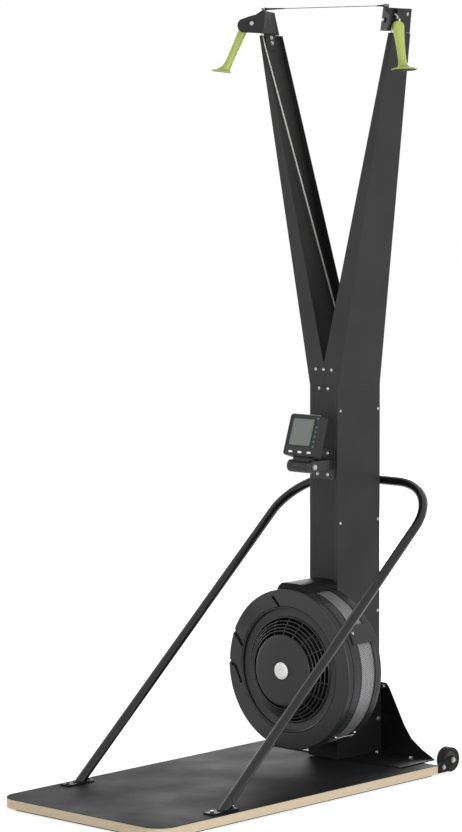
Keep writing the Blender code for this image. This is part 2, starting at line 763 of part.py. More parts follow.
def handle_sections():
    """Drop from the top, half depth, half width, forward offset and tilt in degrees of each ring of a handle."""
    return (
        (0.0000, 0.0035, 0.0050, 0.0000, 0),
        (0.0022, 0.0068, 0.0095, 0.0000, 0),
        (0.0070, 0.0112, 0.0146, 0.0000, 0),
        (0.0150, 0.0125, 0.0168, 0.0000, 0),
        (0.0300, 0.0125, 0.0160, 0.0000, 0),
        (0.0450, 0.0124, 0.0145, 0.0000, 0),
        (0.0750, 0.0122, 0.0125, 0.0000, 0),
        (0.1050, 0.0122, 0.0122, 0.0000, 0),
        (0.1180, 0.0130, 0.0130, 0.0005, 2),
        (0.1280, 0.0160, 0.0165, 0.0020, 6),
        (0.1350, 0.0210, 0.0230, 0.0050, 11),
        (0.1400, 0.0275, 0.0330, 0.0085, 16),
        (0.1425, 0.0290, 0.0355, 0.0090, 17),
        (0.1450, 0.0290, 0.0355, 0.0090, 17),
        (HANDLE_LENGTH, 0.0275, 0.0340, 0.0090, 17),
    )


def build_handle(label, side):
    """Leaning grip that flares into a nearly level hand rest at its foot."""
    sides = 14
    name = f"handle_{label}"
    mesh = bpy.data.meshes.new(name)
    shape = bmesh.new()
    rows = []
    for drop, half_depth, half_width, forward, tilt in handle_sections():
        row = []
        for step in range(sides):
            angle = 2 * math.pi * step / sides
            out = half_depth * math.cos(angle)
            x = forward + out * math.cos(math.radians(tilt))
            y = half_width * math.sin(angle)
            row.append(shape.verts.new((x, y, -drop - out * math.sin(math.radians(tilt)))))
        rows.append(row)
    shape.faces.new(rows[0])
    for upper, lower in zip(rows, rows[1:]):
        for step in range(sides):
            after = (step + 1) % sides
            shape.faces.new((upper[step], lower[step], lower[after], upper[after]))
    shape.faces.new(list(reversed(rows[-1])))
    shape.to_mesh(mesh)
    shape.free()
    mesh.shade_smooth()
    mesh.set_sharp_from_angle(angle=math.radians(50))
    top = head_point(side, HANDLE_REACH, HANDLE_TOP_Z - HEAD_Z, PULLEY_OFFSET)
    heading = math.atan2(-math.cos(HEAD_TOE_OUT), side * math.sin(HEAD_TOE_OUT))
    place = Matrix.Translation(top) @ Matrix.Rotation(heading, 4, "Z") @ Matrix.Rotation(-HANDLE_LEAN, 4, "Y")
    return add_object(name, mesh, HANDLE_PLASTIC, place)


def arm_cord_points(side, label, x_guide, depth):
    """From the drum up the mast, round the guide pulley, up the arm and over the head pulley."""
    y_low = MAST_FRONT_Y + depth
    points = [(-DRUM_CORD_RADIUS, y_low, FAN_Z), (CORD_FALL_X, y_low, GUIDE_Z)]
    climb = head_point(side, PULLEY_AXLE_REACH - HEAD_PULLEY_CORD_RADIUS, 0, PULLEY_OFFSET)
    lean = math.degrees(math.atan2(abs(climb.x - CORD_FALL_X), climb.z - GUIDE_Z))
    if side > 0:
        bend = arc((x_guide, GUIDE_Z), GUIDE_CORD_RADIUS, 180, 180 - lean, 3)
    else:
        bend = arc((x_guide, GUIDE_Z), GUIDE_CORD_RADIUS, 0, lean, 3)
    points += [(x, y_low, z) for x, z in bend[1:]]
    for angle in range(180, 48, -12):
        reach = PULLEY_AXLE_REACH + HEAD_PULLEY_CORD_RADIUS * math.cos(math.radians(angle))
        up = HEAD_PULLEY_CORD_RADIUS * math.sin(math.radians(angle))
        points.append(tuple(head_point(side, reach, up, PULLEY_OFFSET)))
    ends = ((-0.0062, 0.0116), (-0.0024, 0.0096), (0.0, 0.0072), (0.0, HANDLE_CORD_TOP_Z + GAP - HEAD_Z))
    for inset, up in ends:
        points.append(tuple(head_point(side, HANDLE_REACH + inset, up, PULLEY_OFFSET)))
    return points


def build_cords():
    """Both pull cords in two nodes each, and the tie cord between the heads."""
    for (label, x_guide, depth), side in zip(guide_places(), (1, -1)):
        tube(f"arm_cord_{label}", CORD, arm_cord_points(side, label, x_guide, depth), CORD_RADIUS, 2)
        top = head_point(side, HANDLE_REACH, 0, PULLEY_OFFSET)
        place = Matrix.Translation((top.x, top.y, 0))
        low = HANDLE_TOP_Z + CORD_RADIUS * math.tan(HANDLE_LEAN) + GAP
        rod(f"handle_cord_{label}", CORD, CORD_RADIUS, low, HANDLE_CORD_TOP_Z, place, 8)
    knot = tie_cord_end() + 0.0035
    profile = [(0.0, knot + 0.006), (0.0030, knot + 0.005), (0.0040, knot + 0.003), (0.0030, knot + 0.001)]
    profile += [(TIE_CORD_RADIUS, knot), (TIE_CORD_RADIUS, -knot)]
    profile += [(0.0030, -knot - 0.001), (0.0040, -knot - 0.003), (0.0030, -knot - 0.005), (0.0, -knot - 0.006)]
    turned("tie_cord", CORD, profile, along_x(TIE_CORD_Y, TIE_CORD_Z), 8)


def build_fan():
    """Fan wheel on its shaft, with the bearings in the mast."""
    place = along_y(0, FAN_Z)
    inside_rear = MAST_DEPTH - COVER_THICKNESS - GAP
    rod("fan_shaft", STEEL, SHAFT_RADIUS, 0.015 - inside_rear, FAN_FRONT + 0.010, place, MIDDLE_STEPS)
    bore = SHAFT_RADIUS + GAP
    profile = [
        (0.030, FAN_FRONT - 0.006),
        (0.034, FAN_BACK + 0.010),
        (0.060, FAN_BACK + 0.003),
        (FAN_RADIUS, FAN_BACK + 0.003),
        (FAN_RADIUS, FAN_BACK),
        (bore, FAN_BACK),
        (bore, FAN_FRONT - 0.006),
    ]
    wheel = turned("fan_wheel", BLACK_PLASTIC, profile, place)
    blades = bpy.data.meshes.new("fan blades")
    shape = bmesh.new()
    size = Matrix.Diagonal((0.105, 0.0022, FAN_FRONT - FAN_BACK - 0.001, 1))
    for number in range(FAN_BLADES):
        turn = Matrix.Rotation(2 * math.pi * number / FAN_BLADES, 4, "Z")
        shift = Matrix.Translation((FAN_RADIUS - 0.0535, 0, (FAN_FRONT + FAN_BACK + 0.001) / 2))
        pitch = Matrix.Rotation(math.radians(-12), 4, "Z")
        bmesh.ops.create_cube(shape, size=1.0, matrix=turn @ shift @ pitch @ size)
    shape.to_mesh(blades)
    shape.free()
    join(wheel, add_object("fan blade set", blades, None, place))
    profile = [
        (0.035, CAGE_REAR_BACK - GAP),
        (0.035, GAP),
        (BEARING_NOSE_RADIUS, GAP),
        (BEARING_NOSE_RADIUS, -0.022),
        (bore, -0.022),
        (bore, CAGE_REAR_BACK - GAP),
    ]
    turned("bearing_front", BLACK_STEEL, profile, place, MIDDLE_STEPS)
    profile = ring_profile(bore, 0.030, -inside_rear, BEARING_LENGTH - inside_rear)
    turned("bearing_rear", BLACK_STEEL, profile, place, MIDDLE_STEPS)


def build_cage():
    """Rear pan, silver band, front moulding with its grille, damper ring, centre cover and hub cap."""
    place = along_y(0, FAN_Z)
    inner = CAGE_RADIUS - CAGE_WALL
    profile = [
        (CAGE_RADIUS, CAGE_REAR_FRONT),
        (CAGE_RADIUS, CAGE_REAR_BACK + 0.006),
        (CAGE_RADIUS - 0.006, CAGE_REAR_BACK),
        (SHAFT_RADIUS + 0.002, CAGE_REAR_BACK),
        (SHAFT_RADIUS + 0.002, CAGE_REAR_BACK + CAGE_WALL),
        (inner - 0.006, CAGE_REAR_BACK + CAGE_WALL),
        (inner, CAGE_REAR_BACK + CAGE_WALL + 0.006),
        (inner, CAGE_REAR_FRONT),
    ]
    turned("cage_rear", BLACK_PLASTIC, profile, place)
    band = ring_profile(BAND_RADIUS - BAND_WALL, BAND_RADIUS, CAGE_REAR_FRONT + GAP, CAGE_FRONT_BACK - GAP)
    turned("cage_band", SILVER_MESH, band, place)
    profile = [
        (CAGE_RADIUS, CAGE_FACE),
        (CAGE_RADIUS, CAGE_FRONT_BACK),
        (inner, CAGE_FRONT_BACK),
        (inner, CAGE_FACE - CAGE_WALL),
        (DISH_OUTER - 0.001, CAGE_FACE - CAGE_WALL),
        (DISH_INNER - 0.002, DISH_FLOOR - CAGE_WALL),
        (GRILLE_OUTER, DISH_FLOOR - CAGE_WALL),
        (GRILLE_OUTER - 0.0015, GRILLE_FLOOR - CAGE_WALL),
        (SHAFT_RADIUS, GRILLE_FLOOR - CAGE_WALL),
        (SHAFT_RADIUS, GRILLE_FLOOR),
        (GRILLE_OUTER - 0.003, GRILLE_FLOOR),
        (GRILLE_OUTER, DISH_FLOOR),
        (DISH_INNER, DISH_FLOOR),
        (DISH_OUTER, DAMPER_FACE),
        (DAMPER_INNER - DAMPER_CLEARANCE, DAMPER_FACE),
        (DAMPER_INNER - DAMPER_CLEARANCE, CAGE_FACE),
    ]
    front = turned("cage_front", BLACK_PLASTIC, profile, place)
    slots = bpy.data.meshes.new("grille slots")
    shape = bmesh.new()
    size = Matrix.Diagonal((GRILLE_OUTER - GRILLE_INNER - 0.010, 0.011, 0.02, 1))
    for number in range(GRILLE_SLOTS):
        turn = Matrix.Rotation(2 * math.pi * number / GRILLE_SLOTS, 4, "Z")
        shift = Matrix.Translation(((GRILLE_OUTER + GRILLE_INNER) / 2 - 0.0005, 0, GRILLE_FLOOR))
        bmesh.ops.create_cube(shape, size=1.0, matrix=turn @ shift @ size)
    shape.to_mesh(slots)
    shape.free()
    cut(front, add_object("grille slot set", slots, None, place))

    profile = [
        (CAGE_RADIUS - 0.002, DAMPER_FACE),
        (CAGE_RADIUS, DAMPER_FACE - 0.002),
        (CAGE_RADIUS, CAGE_FACE + GAP),
        (DAMPER_INNER, CAGE_FACE + GAP),
        (DAMPER_INNER, DAMPER_FACE),
    ]
    ring = turned("damper_ring", BLACK_PLASTIC, profile, place)
    for number, angle in enumerate((152, 218)):
        turn = Matrix.Rotation(math.radians(angle), 4, "Z")
        low = (CAGE_RADIUS - 0.022, -0.013, DAMPER_FACE - 0.005)
        high = (CAGE_RADIUS + 0.01, 0.013, DAMPER_FACE + 0.01)
        cut(ring, box(f"finger notch {number}", None, low, high, place @ turn))

    profile = [
        (0.0, CENTRE_COVER_FACE),
        (CENTRE_COVER_RADIUS - 0.012, CENTRE_COVER_FACE),
        (CENTRE_COVER_RADIUS - 0.003, CENTRE_COVER_FACE - 0.003),
        (CENTRE_COVER_RADIUS, CENTRE_COVER_FACE - 0.010),
        (CENTRE_COVER_RADIUS, GRILLE_FLOOR + GAP),
        (0.0, GRILLE_FLOOR + GAP),
    ]
    turned("centre_cover", GREY_PLASTIC, profile, place)
    profile = [
        (0.0, HUB_CAP_FACE),
        (HUB_CAP_RADIUS * 0.6, HUB_CAP_FACE - 0.001),
        (HUB_CAP_RADIUS - 0.003, HUB_CAP_FACE - 0.005),
        (HUB_CAP_RADIUS, HUB_CAP_FACE - 0.011),
        (HUB_CAP_RADIUS, CENTRE_COVER_FACE + GAP),
        (0.0, CENTRE_COVER_FACE + GAP),
    ]
    turned("hub_cap", PALE_PLASTIC, profile, place, MIDDLE_STEPS)

    strap_z = FAN_Z + CAGE_RADIUS + 0.001
    front_y = MAST_FRONT_Y - DAMPER_FACE - 0.001
    back_y = MAST_FRONT_Y - GAP
    side_view = [
        (front_y - STRAP_SHEET, strap_z - 0.022),
        (front_y - STRAP_SHEET, strap_z + 0.003),
        (front_y + 0.015, strap_z + STRAP_HEIGHT),
        (front_y + 0.048, strap_z + STRAP_HEIGHT - 0.001),
        (back_y, strap_z + 0.007),
        (back_y, strap_z),
        (front_y, strap_z),
        (front_y, strap_z - 0.022),
    ]
    plate("cage_strap", BLACK_PLASTIC, side_view, STRAP_WIDTH, facing_x(0))

    low, high = CAGE_REAR_BACK + 0.007, CAGE_FRONT_BACK + 0.008
    outline = arc((0, 0), CAGE_RADIUS + GAP, CLIP_START, CLIP_END, 4)
    outline += arc((0, 0), CAGE_RADIUS + CLIP_THICKNESS, CLIP_END, CLIP_START, 4)
    clip_place = place @ Matrix.Translation((0, 0, (low + high) / 2))
    plate("cage_clip", BLACK_PLASTIC, outline, high - low, clip_place)


def monitor_frame():
    """Frame of the monitor: its origin on the hinge axis, tilted back."""
    return Matrix.Translation((0, HINGE_Y, HINGE_Z)) @ Matrix.Rotation(-MONITOR_TILT, 4, "X")


def rounded_outline(low, high, radius, count=4):
    """A rectangle with round corners."""
    (x0, y0), (x1, y1) = low, high
    outline = arc((x1 - radius, y1 - radius), radius, 0, 90, count)
    outline += arc((x0 + radius, y1 - radius), radius, 90, 180, count)
    outline += arc((x0 + radius, y0 + radius), radius, 180, 270, count)
    outline += arc((x1 - radius, y0 + radius), radius, 270, 360, count)
    return outline


def face_plate(name, material, outline, near, far, place):
    """A flat outline in the monitor's X and Z, between two places along its own Y."""
    upright = place @ Matrix.Translation((0, (near + far) / 2, 0)) @ Matrix.Rotation(math.pi / 2, 4, "X")
    return plate(name, material, outline, abs(far - near), upright)


def build_monitor():
    """Bracket on the mast, hinge bolt, two-part housing, display and nine buttons."""
    frame = monitor_frame()
    hinge = along_x(HINGE_Y, HINGE_Z)
    back_y = MAST_FRONT_Y - GAP
    half = HINGE_WIDTH / 2
    low = (-half, back_y - 0.003, 0.822)
    bracket = box("monitor_bracket", BLACK_PLASTIC, low, (half, back_y, 0.910))
    ear_inner = KNUCKLE_WIDTH / 2 + GAP
    for label, side in (("left", -1), ("right", 1)):
        ear = rod(f"bracket ear {label}", None, HINGE_RADIUS, side * ear_inner, side * half, hinge, MIDDLE_STEPS)
        inner, outer = sorted((side * ear_inner, side * (ear_inner + 0.005)))
        arm = box(
            f"bracket arm {label}", None, (inner, HINGE_Y, HINGE_Z - 0.014), (outer, back_y - 0.002, HINGE_Z + 0.014)
        )
        join(bracket, ear, arm)
    cut(bracket, rod("bracket bore", None, AXLE_RADIUS + GAP, -0.06, 0.06, hinge))
    head = half + GAP
    profile = [
        (0.0, head + 0.005),
        (0.0075, head + 0.005),
        (0.0075, head),
        (AXLE_RADIUS, head),
        (AXLE_RADIUS, -head),
        (0.0075, -head),
        (0.0075, -head - 0.005),
        (0.0, -head - 0.005),
    ]
    turned("hinge_bolt", STEEL, profile, hinge, SMALL_STEPS)

    side = MONITOR_WIDTH / 2
    outline = rounded_outline((-side, MONITOR_BOTTOM), (side, MONITOR_TOP), 0.008)
    back = face_plate("monitor_back", BLACK_PLASTIC, outline, MONITOR_SPLIT + GAP, MONITOR_BACK, frame)
    half = KNUCKLE_WIDTH / 2
    knuckle = rod("monitor knuckle", None, HINGE_RADIUS, -half, half, frame @ along_x(0, 0), MIDDLE_STEPS)
    neck = box("monitor neck", None, (-half, -0.013, 0.0), (half, 0.001, 0.030), frame)
    join(back, knuckle, neck)
    cut(back, rod("knuckle bore", None, AXLE_RADIUS + GAP, -0.05, 0.05, frame @ along_x(0, 0)))

    front = face_plate("monitor_front", BLACK_PLASTIC, outline, MONITOR_FACE, MONITOR_SPLIT, frame)
    recess = rounded_outline((DISPLAY_LEFT, DISPLAY_BOTTOM), (DISPLAY_RIGHT, DISPLAY_TOP), 0.003, 3)
    cut(front, face_plate("display recess", None, recess, MONITOR_FACE - 0.002, MONITOR_FACE + 0.0040, frame))
    lens_low = (DISPLAY_LEFT + GAP, DISPLAY_BOTTOM + GAP)
    lens_high = (DISPLAY_RIGHT - GAP, DISPLAY_TOP - GAP)
    lens = rounded_outline(lens_low, lens_high, 0.003, 3)
    far = MONITOR_FACE + 0.0040 - GAP
    display = face_plate("display", DISPLAY_GLASS, lens, MONITOR_FACE + 0.0010, far, frame)
    turning = [back, front, display]

    near = MONITOR_FACE - BUTTON_PROUD
    far = near + BUTTON_LENGTH
    pocket_far = far + 0.003
    for number, height in enumerate(SIDE_BUTTON_HEIGHTS, start=1):
        centre = (SIDE_BUTTON_X, height)
        round_button = arc(centre, SIDE_BUTTON_RADIUS, 0, 337.5, 15)
        pocket = arc(centre, SIDE_BUTTON_RADIUS + GAP, 0, 337.5, 15)
        cut(front, face_plate(f"side pocket {number}", None, pocket, near - 0.002, pocket_far, frame))
        turning.append(face_plate(f"button_side_{number}", GREY_PLASTIC, round_button, near, far, frame))
    half_x, half_z = LOW_BUTTON_SIZE[0] / 2, LOW_BUTTON_SIZE[1] / 2
    for number, x in enumerate(LOW_BUTTON_PLACES, start=1):
        low, high = (x - half_x, LOW_BUTTON_HEIGHT - half_z), (x + half_x, LOW_BUTTON_HEIGHT + half_z)
        oval = rounded_outline(low, high, half_z * 0.98)
        low, high = (low[0] - GAP, low[1] - GAP), (high[0] + GAP, high[1] + GAP)
        pocket = rounded_outline(low, high, half_z * 0.98 + GAP)
        cut(front, face_plate(f"low pocket {number}", None, pocket, near - 0.002, pocket_far, frame))
        turning.append(face_plate(f"button_low_{number}", PALE_PLASTIC, oval, near, far, frame))

    pivot = bpy.data.objects.new("monitor_pivot", None)
    pivot.matrix_world = frame
    PARTS.objects.link(pivot)
    for piece in turning:
        piece.parent = pivot
        piece.matrix_parent_inverse = frame.inverted()


def hoop_points():
    """From below the right foot straight up the right leg, round the top behind the mast and down again."""
    foot = Vector((0, HOOP_FOOT_Y, PLATFORM_TOP_Z + GAP + FOOT_THICKNESS))
    top = Vector((0, HOOP_TOP_Y, HOOP_TOP_Z))
    slope = (top - foot).normalized()
    leg_end = (top - foot).length - HOOP_BEND
    side_points = [Vector((HOOP_HALF_WIDTH, 0, 0)) + foot - slope * 2 * HOOP_RADIUS]
    for step in range(9):
        angle = math.pi / 2 * step / 8
        across = HOOP_HALF_WIDTH - HOOP_BEND * (1 - math.cos(angle))
        along = leg_end + HOOP_BEND * math.sin(angle)
        side_points.append(Vector((across, 0, 0)) + foot + slope * along)
    mirrored = [Vector((-point.x, point.y, point.z)) for point in reversed(side_points)]
    return side_points + mirrored


def build_hoop():
    """Bent tube from the platform round the back of the mast, its two feet and its clamp."""
    plate_z = PLATFORM_TOP_Z + GAP
    foot_z = plate_z + FOOT_THICKNESS
    hoop = as_mesh(tube("hoop tube path", None, hoop_points(), HOOP_RADIUS, 3), "hoop_tube", BLACK_STEEL)
    low = (-HOOP_HALF_WIDTH - 0.05, HOOP_FOOT_Y - 0.10, foot_z - 0.10)
    high = (HOOP_HALF_WIDTH + 0.05, HOOP_FOOT_Y + 0.10, foot_z + GAP)
    cut(hoop, box("hoop foot cutter", None, low, high))
    for label, side in (("left", -1), ("right", 1)):
        x = side * HOOP_HALF_WIDTH
        low = (x - FOOT_WIDTH / 2, HOOP_FOOT_Y - FOOT_AHEAD, plate_z)
        high = (x + FOOT_WIDTH / 2, HOOP_FOOT_Y + FOOT_BEHIND, foot_z)
        foot = box(f"hoop_foot_{label}", BLACK_STEEL, low, high)
        for number, along in enumerate((0.014 - FOOT_AHEAD, FOOT_BEHIND - 0.006)):
            spot = Matrix.Translation((x, HOOP_FOOT_Y + along, 0))
            join(foot, rod(f"foot bolt {label} {number}", None, 0.0045, foot_z - 0.001, foot_z + 0.004, spot, 6))
    rear_y = MAST_FRONT_Y + MAST_DEPTH + GAP
    half_height = CLAMP_HEIGHT / 2
    low = (-CLAMP_HALF_WIDTH, rear_y, HOOP_TOP_Z - half_height)
    high = (CLAMP_HALF_WIDTH, HOOP_TOP_Y + HOOP_RADIUS + 0.005, HOOP_TOP_Z + half_height)
    clamp = round_edges(box("hoop_clamp", BLACK_STEEL, low, high), 0.002, 2)
    bore = rod("clamp bore", None, HOOP_RADIUS + GAP, -0.08, 0.08, along_x(HOOP_TOP_Y, HOOP_TOP_Z), MIDDLE_STEPS)
    cut(clamp, bore)


def build_transport_wheels():
    """Two small wheels on forks behind the platform."""
    for label, side in (("left", -1), ("right", 1)):
        rear = PLATFORM_REAR_Y + GAP
        sheet = 0.003
        outline = [(WHEEL_Y - 0.026, 0.007), (rear, 0.007), (rear, PLATFORM_TOP_Z)]
        outline += arc((WHEEL_Y, WHEEL_Z), 0.012, 110, -50, 8)
        fork = plate(f"wheel_fork_{label}", BLACK_STEEL, outline, sheet, facing_x(side * WHEEL_FORK_X))
        outer = side * (WHEEL_FORK_X + sheet / 2)
        inner = side * (WHEEL_FORK_X - 0.042)
        low_x, high_x = sorted((outer, inner))
        tab = box(f"fork tab {label}", None, (low_x, rear, 0.008), (high_x, rear + sheet, PLATFORM_TOP_Z - 0.001))
        start = WHEEL_FORK_X + sheet / 2
        end = WHEEL_FORK_X - 0.0045 - WHEEL_WIDTH
        hinge = along_x(WHEEL_Y, WHEEL_Z)
        axle = rod(f"wheel axle {label}", None, AXLE_RADIUS, side * start, side * end, hinge)
        cap_outer = side * end
        cap_inner = side * (end - 0.003)
        cap = rod(f"axle cap {label}", None, 0.0075, cap_outer, cap_inner, hinge)
        join(fork, tab, axle, cap)
        centre = side * (WHEEL_FORK_X - 0.002 - WHEEL_WIDTH / 2)
        half = WHEEL_WIDTH / 2
        profile = [
            (0.024, half - 0.003),
            (0.026, half),
            (WHEEL_RADIUS - 0.002, half),
            (WHEEL_RADIUS, half - 0.003),
            (WHEEL_RADIUS, 0.003 - half),
            (WHEEL_RADIUS - 0.002, -half),
            (0.026, -half),
            (0.024, 0.003 - half),
            (AXLE_RADIUS + GAP, 0.003 - half),
            (AXLE_RADIUS + GAP, half - 0.003),
        ]
        turned(f"transport_wheel_{label}", RUBBER, profile, along_x(WHEEL_Y, WHEEL_Z, centre), MIDDLE_STEPS)


build_platform()
build_base_bracket()
build_mast()
build_guides_and_drums()
for label, side in (("left", -1), ("right", 1)):
    build_head(label, side)
    build_handle(label, side)
build_cords()
build_fan()
build_cage()
build_monitor()
build_hoop()
build_transport_wheels()
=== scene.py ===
import math

import bpy
import numpy as np
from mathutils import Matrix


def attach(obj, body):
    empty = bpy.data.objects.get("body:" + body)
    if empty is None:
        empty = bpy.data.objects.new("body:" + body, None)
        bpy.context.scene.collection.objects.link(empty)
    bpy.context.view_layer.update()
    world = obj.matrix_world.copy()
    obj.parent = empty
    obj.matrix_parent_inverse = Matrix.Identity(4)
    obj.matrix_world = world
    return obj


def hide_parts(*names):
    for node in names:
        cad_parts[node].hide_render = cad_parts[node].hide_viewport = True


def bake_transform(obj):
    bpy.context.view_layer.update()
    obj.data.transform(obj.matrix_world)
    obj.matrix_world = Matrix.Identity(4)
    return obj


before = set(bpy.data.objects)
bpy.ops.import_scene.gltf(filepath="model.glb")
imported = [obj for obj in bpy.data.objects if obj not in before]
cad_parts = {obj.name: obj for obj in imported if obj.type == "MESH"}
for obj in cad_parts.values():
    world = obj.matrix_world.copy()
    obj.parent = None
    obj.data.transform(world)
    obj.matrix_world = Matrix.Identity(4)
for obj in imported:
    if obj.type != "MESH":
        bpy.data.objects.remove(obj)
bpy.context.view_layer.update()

# Studio: a white floor that keeps the machine's shadow, broad soft lamps at a plain level, and the
# photograph's camera, which stands to the front right of the machine a little below the heads.
camera_data = bpy.data.cameras.new("photo_camera")
camera_data.sensor_width = 36.0
camera_data.lens = 140.100
camera_data.shift_y = -0.1923
camera_data.clip_end = 100.0
camera = bpy.data.objects.new("photo_camera", camera_data)
camera.location = (5.94925, -6.46429, 1.85102)
camera.rotation_euler = (math.radians(90 - 2.5467), 0.0, math.radians(42.7103))
bpy.context.scene.collection.objects.link(camera)
bpy.context.scene.camera = camera

scene = bpy.context.scene
scene.view_settings.view_transform = "Standard"
world = bpy.data.worlds.new("studio_world")
scene.world = world
world.use_nodes = True


def set_inputs(tree, node, inputs):
    """Gives each input, by its name or number, a link where the value is a socket, and else the value."""
    for key, value in inputs.items():
        if isinstance(value, bpy.types.NodeSocket):
            tree.links.new(value, node.inputs[key])
        else:
            node.inputs[key].default_value = value


def add_node(tree, kind, inputs):
    """A new shader node of that kind with its inputs set."""
    node = tree.nodes.new(f"ShaderNode{kind}")
    set_inputs(tree, node, inputs)
    return node


def larger(tree, first, second):
    """The larger of two values."""
    node = add_node(tree, "Math", {0: first, 1: second})
    node.operation = "MAXIMUM"
    return node.outputs[0]


def spread(tree, source, low, high, to_low=0.0, to_high=1.0):
    """Maps one range of a value onto another and clips it there."""
    ends = {"From Min": low, "From Max": high, "To Min": to_low, "To Max": to_high}
    return add_node(tree, "MapRange", {"Value": source, **ends}).outputs["Result"]


def seen_directly(tree):
    """1 for the rays of the camera, of gloss and of glass, and 0 for light that falls on the object."""
    rays = add_node(tree, "LightPath", {}).outputs
    seen = larger(tree, rays["Is Camera Ray"], rays["Is Glossy Ray"])
    return larger(tree, seen, rays["Is Transmission Ray"])


# The world is white where it is seen, and half as bright for what it lights.
LIGHT_ON_OBJECT, FLOOR_GLOW, WHITE = 0.50, 0.72, (1, 1, 1, 1)
sky = world.node_tree
glow = spread(sky, seen_directly(sky), 0.0, 1.0, LIGHT_ON_OBJECT, 1.0)
set_inputs(sky, sky.nodes["Background"], {"Color": WHITE, "Strength": glow})

floor_mesh = bpy.data.meshes.new("studio_floor")
floor_mesh.from_pydata([(-14, -14, 0), (14, -14, 0), (14, 14, 0), (-14, 14, 0)], [], [(0, 1, 2, 3)])
floor = bpy.data.objects.new("studio_floor", floor_mesh)
scene.collection.objects.link(floor)
floor_white = bpy.data.materials.new("studio_white")
floor_white.use_nodes = True
ground = floor_white.node_tree
floor_look = {
    "Base Color": (0.55, 0.55, 0.55, 1),
    "Roughness": 1.0,
    "Specular IOR Level": 0.0,
    "Emission Color": WHITE,
    "Emission Strength": spread(ground, seen_directly(ground), 0.0, 1.0, 0.0, FLOOR_GLOW),
}
set_inputs(ground, ground.nodes["Principled BSDF"], floor_look)
floor_mesh.materials.append(floor_white)


def soft_lamp(name, place, aim, size, power):
    """A square lamp of that size and power, whose face is turned from its place towards the aim."""
    lamp = bpy.data.lights.new(name, "AREA")
    lamp.shape = "SQUARE"
    lamp.size = size
    lamp.energy = power
    holder = bpy.data.objects.new(name, lamp)
    toward = np.array(aim, float) - np.array(place, float)
    flat = math.hypot(toward[0], toward[1])
    holder.location = place
    heading = math.atan2(toward[1], toward[0])
    holder.rotation_euler = (math.atan2(flat, -toward[2]), 0.0, heading - math.pi / 2)
    scene.collection.objects.link(holder)


soft_lamp("right_lamp", (6.0, -1.2, 1.5), (0, 0.2, 0.9), 3.0, 265)
soft_lamp("front_lamp", (-1.5, -6.0, 1.0), (0, 0.2, 0.6), 3.0, 90)
soft_lamp("rear_lamp", (-3.5, 5.0, 2.2), (0, 0.2, 1.0), 3.0, 200)
soft_lamp("left_lamp", (-6.0, -1.0, 1.6), (0, 0.2, 1.0), 3.0, 130)

# Pull cords: two braided off-white cords. Each is wound on a drum on the fan's shaft, runs up inside the
# mast, round a guide pulley, up its arm and over the head pulley, and ends in a handle. Their length is
# that of their route.
RIGHT, BACK, UP = np.eye(3)
FRONT_Y = 0.363  # the mast's front face
GAP = 0.0003  # the clearance between parts that touch
# Half the mast's width, the height of the fork, an arm's spread for each metre of height, and its top.
MAST_HALF, FORK_Z, ARM_SPREAD, ARM_TOP_Z = 0.0522, 1.083, 0.196, 2.068
HEAD_Z = ARM_TOP_Z + 0.034
HEAD_TOP_Z = ARM_TOP_Z + 0.067


def arm_outer(z):
    """An arm's outer face at height z: half the mast's width + spread times the height above the fork."""
    return MAST_HALF + ARM_SPREAD * max(0.0, z - FORK_Z)


# Each head's cheek is toed out, and its corner stands in from the arm's outer face and ahead of the mast.
TOE_OUT, CORNER_IN, CORNER_AHEAD = math.radians(56), 0.0342, 0.0096
HEAD_REACH = np.array([math.sin(TOE_OUT), -math.cos(TOE_OUT), 0.0])
HEAD_INWARD = np.array([math.cos(TOE_OUT), math.sin(TOE_OUT), 0.0])
HEAD_CORNER = np.array([arm_outer(HEAD_Z) - CORNER_IN, FRONT_Y - CORNER_AHEAD, HEAD_Z])
# From the corner to the axle and to the handle along the cheek, and from the cheek to the pulley's middle.
AXLE_REACH, HANDLE_REACH, PULLEY_OFFSET = 0.0341, 0.0565, 0.0288
HANDLE_TOP_Z = HEAD_Z - 0.0035
CORD_TOP_Z = HANDLE_TOP_Z + 0.0085
CORD_RADIUS, HEAD_CORD_RADIUS = 0.00225, 0.0160
DRUM_RADIUS, FAN_Z = 0.0245, 0.302
CORD_X, CORD_RISE_Z = -0.003, 1.119  # where a cord meets its guide pulley
GUIDE_Z, GUIDE_RADIUS = 1.120, 0.016


def head_point(side, reach, up, offset):
    """Corner + reach along the cheek + up + offset behind the cheek, mirrored for the left head."""
    point = HEAD_CORNER + reach * HEAD_REACH + offset * HEAD_INWARD + np.array([0.0, 0.0, up])
    return point * np.array([side, 1.0, 1.0])


def smooth_path(corners, radius, steps=6):
    """Rounds a line's inner corners: on each, the curve (1-t)²a + 2t(1-t)p + t²b runs from a to b, which
    lie on the two sides of corner p at the radius or at 0.45 of the side."""
    corners = np.asarray(corners, float)
    before, at, after = corners[:-2], corners[1:-1], corners[2:]
    first, second = before - at, after - at
    long_first = np.linalg.norm(first, axis=1, keepdims=True)
    long_second = np.linalg.norm(second, axis=1, keepdims=True)
    a = at + first / long_first * np.minimum(radius, 0.45 * long_first)
    b = at + second / long_second * np.minimum(radius, 0.45 * long_second)
    t = np.linspace(0, 1, steps)[None, :, None]
    curve = (1 - t) ** 2 * a[:, None] + 2 * t * (1 - t) * at[:, None] + t**2 * b[:, None]
    return np.concatenate([corners[:1], curve.reshape(-1, corners.shape[1]), corners[-1:]])


def soft_loop(corners, radius, steps=4):
    """A closed outline with its corners rounded in the way of smooth_path."""
    corners = np.asarray(corners, float)
    looped = np.concatenate([corners[-1:], corners, corners[:1]])
    return smooth_path(looped, radius, steps)[1:-1]


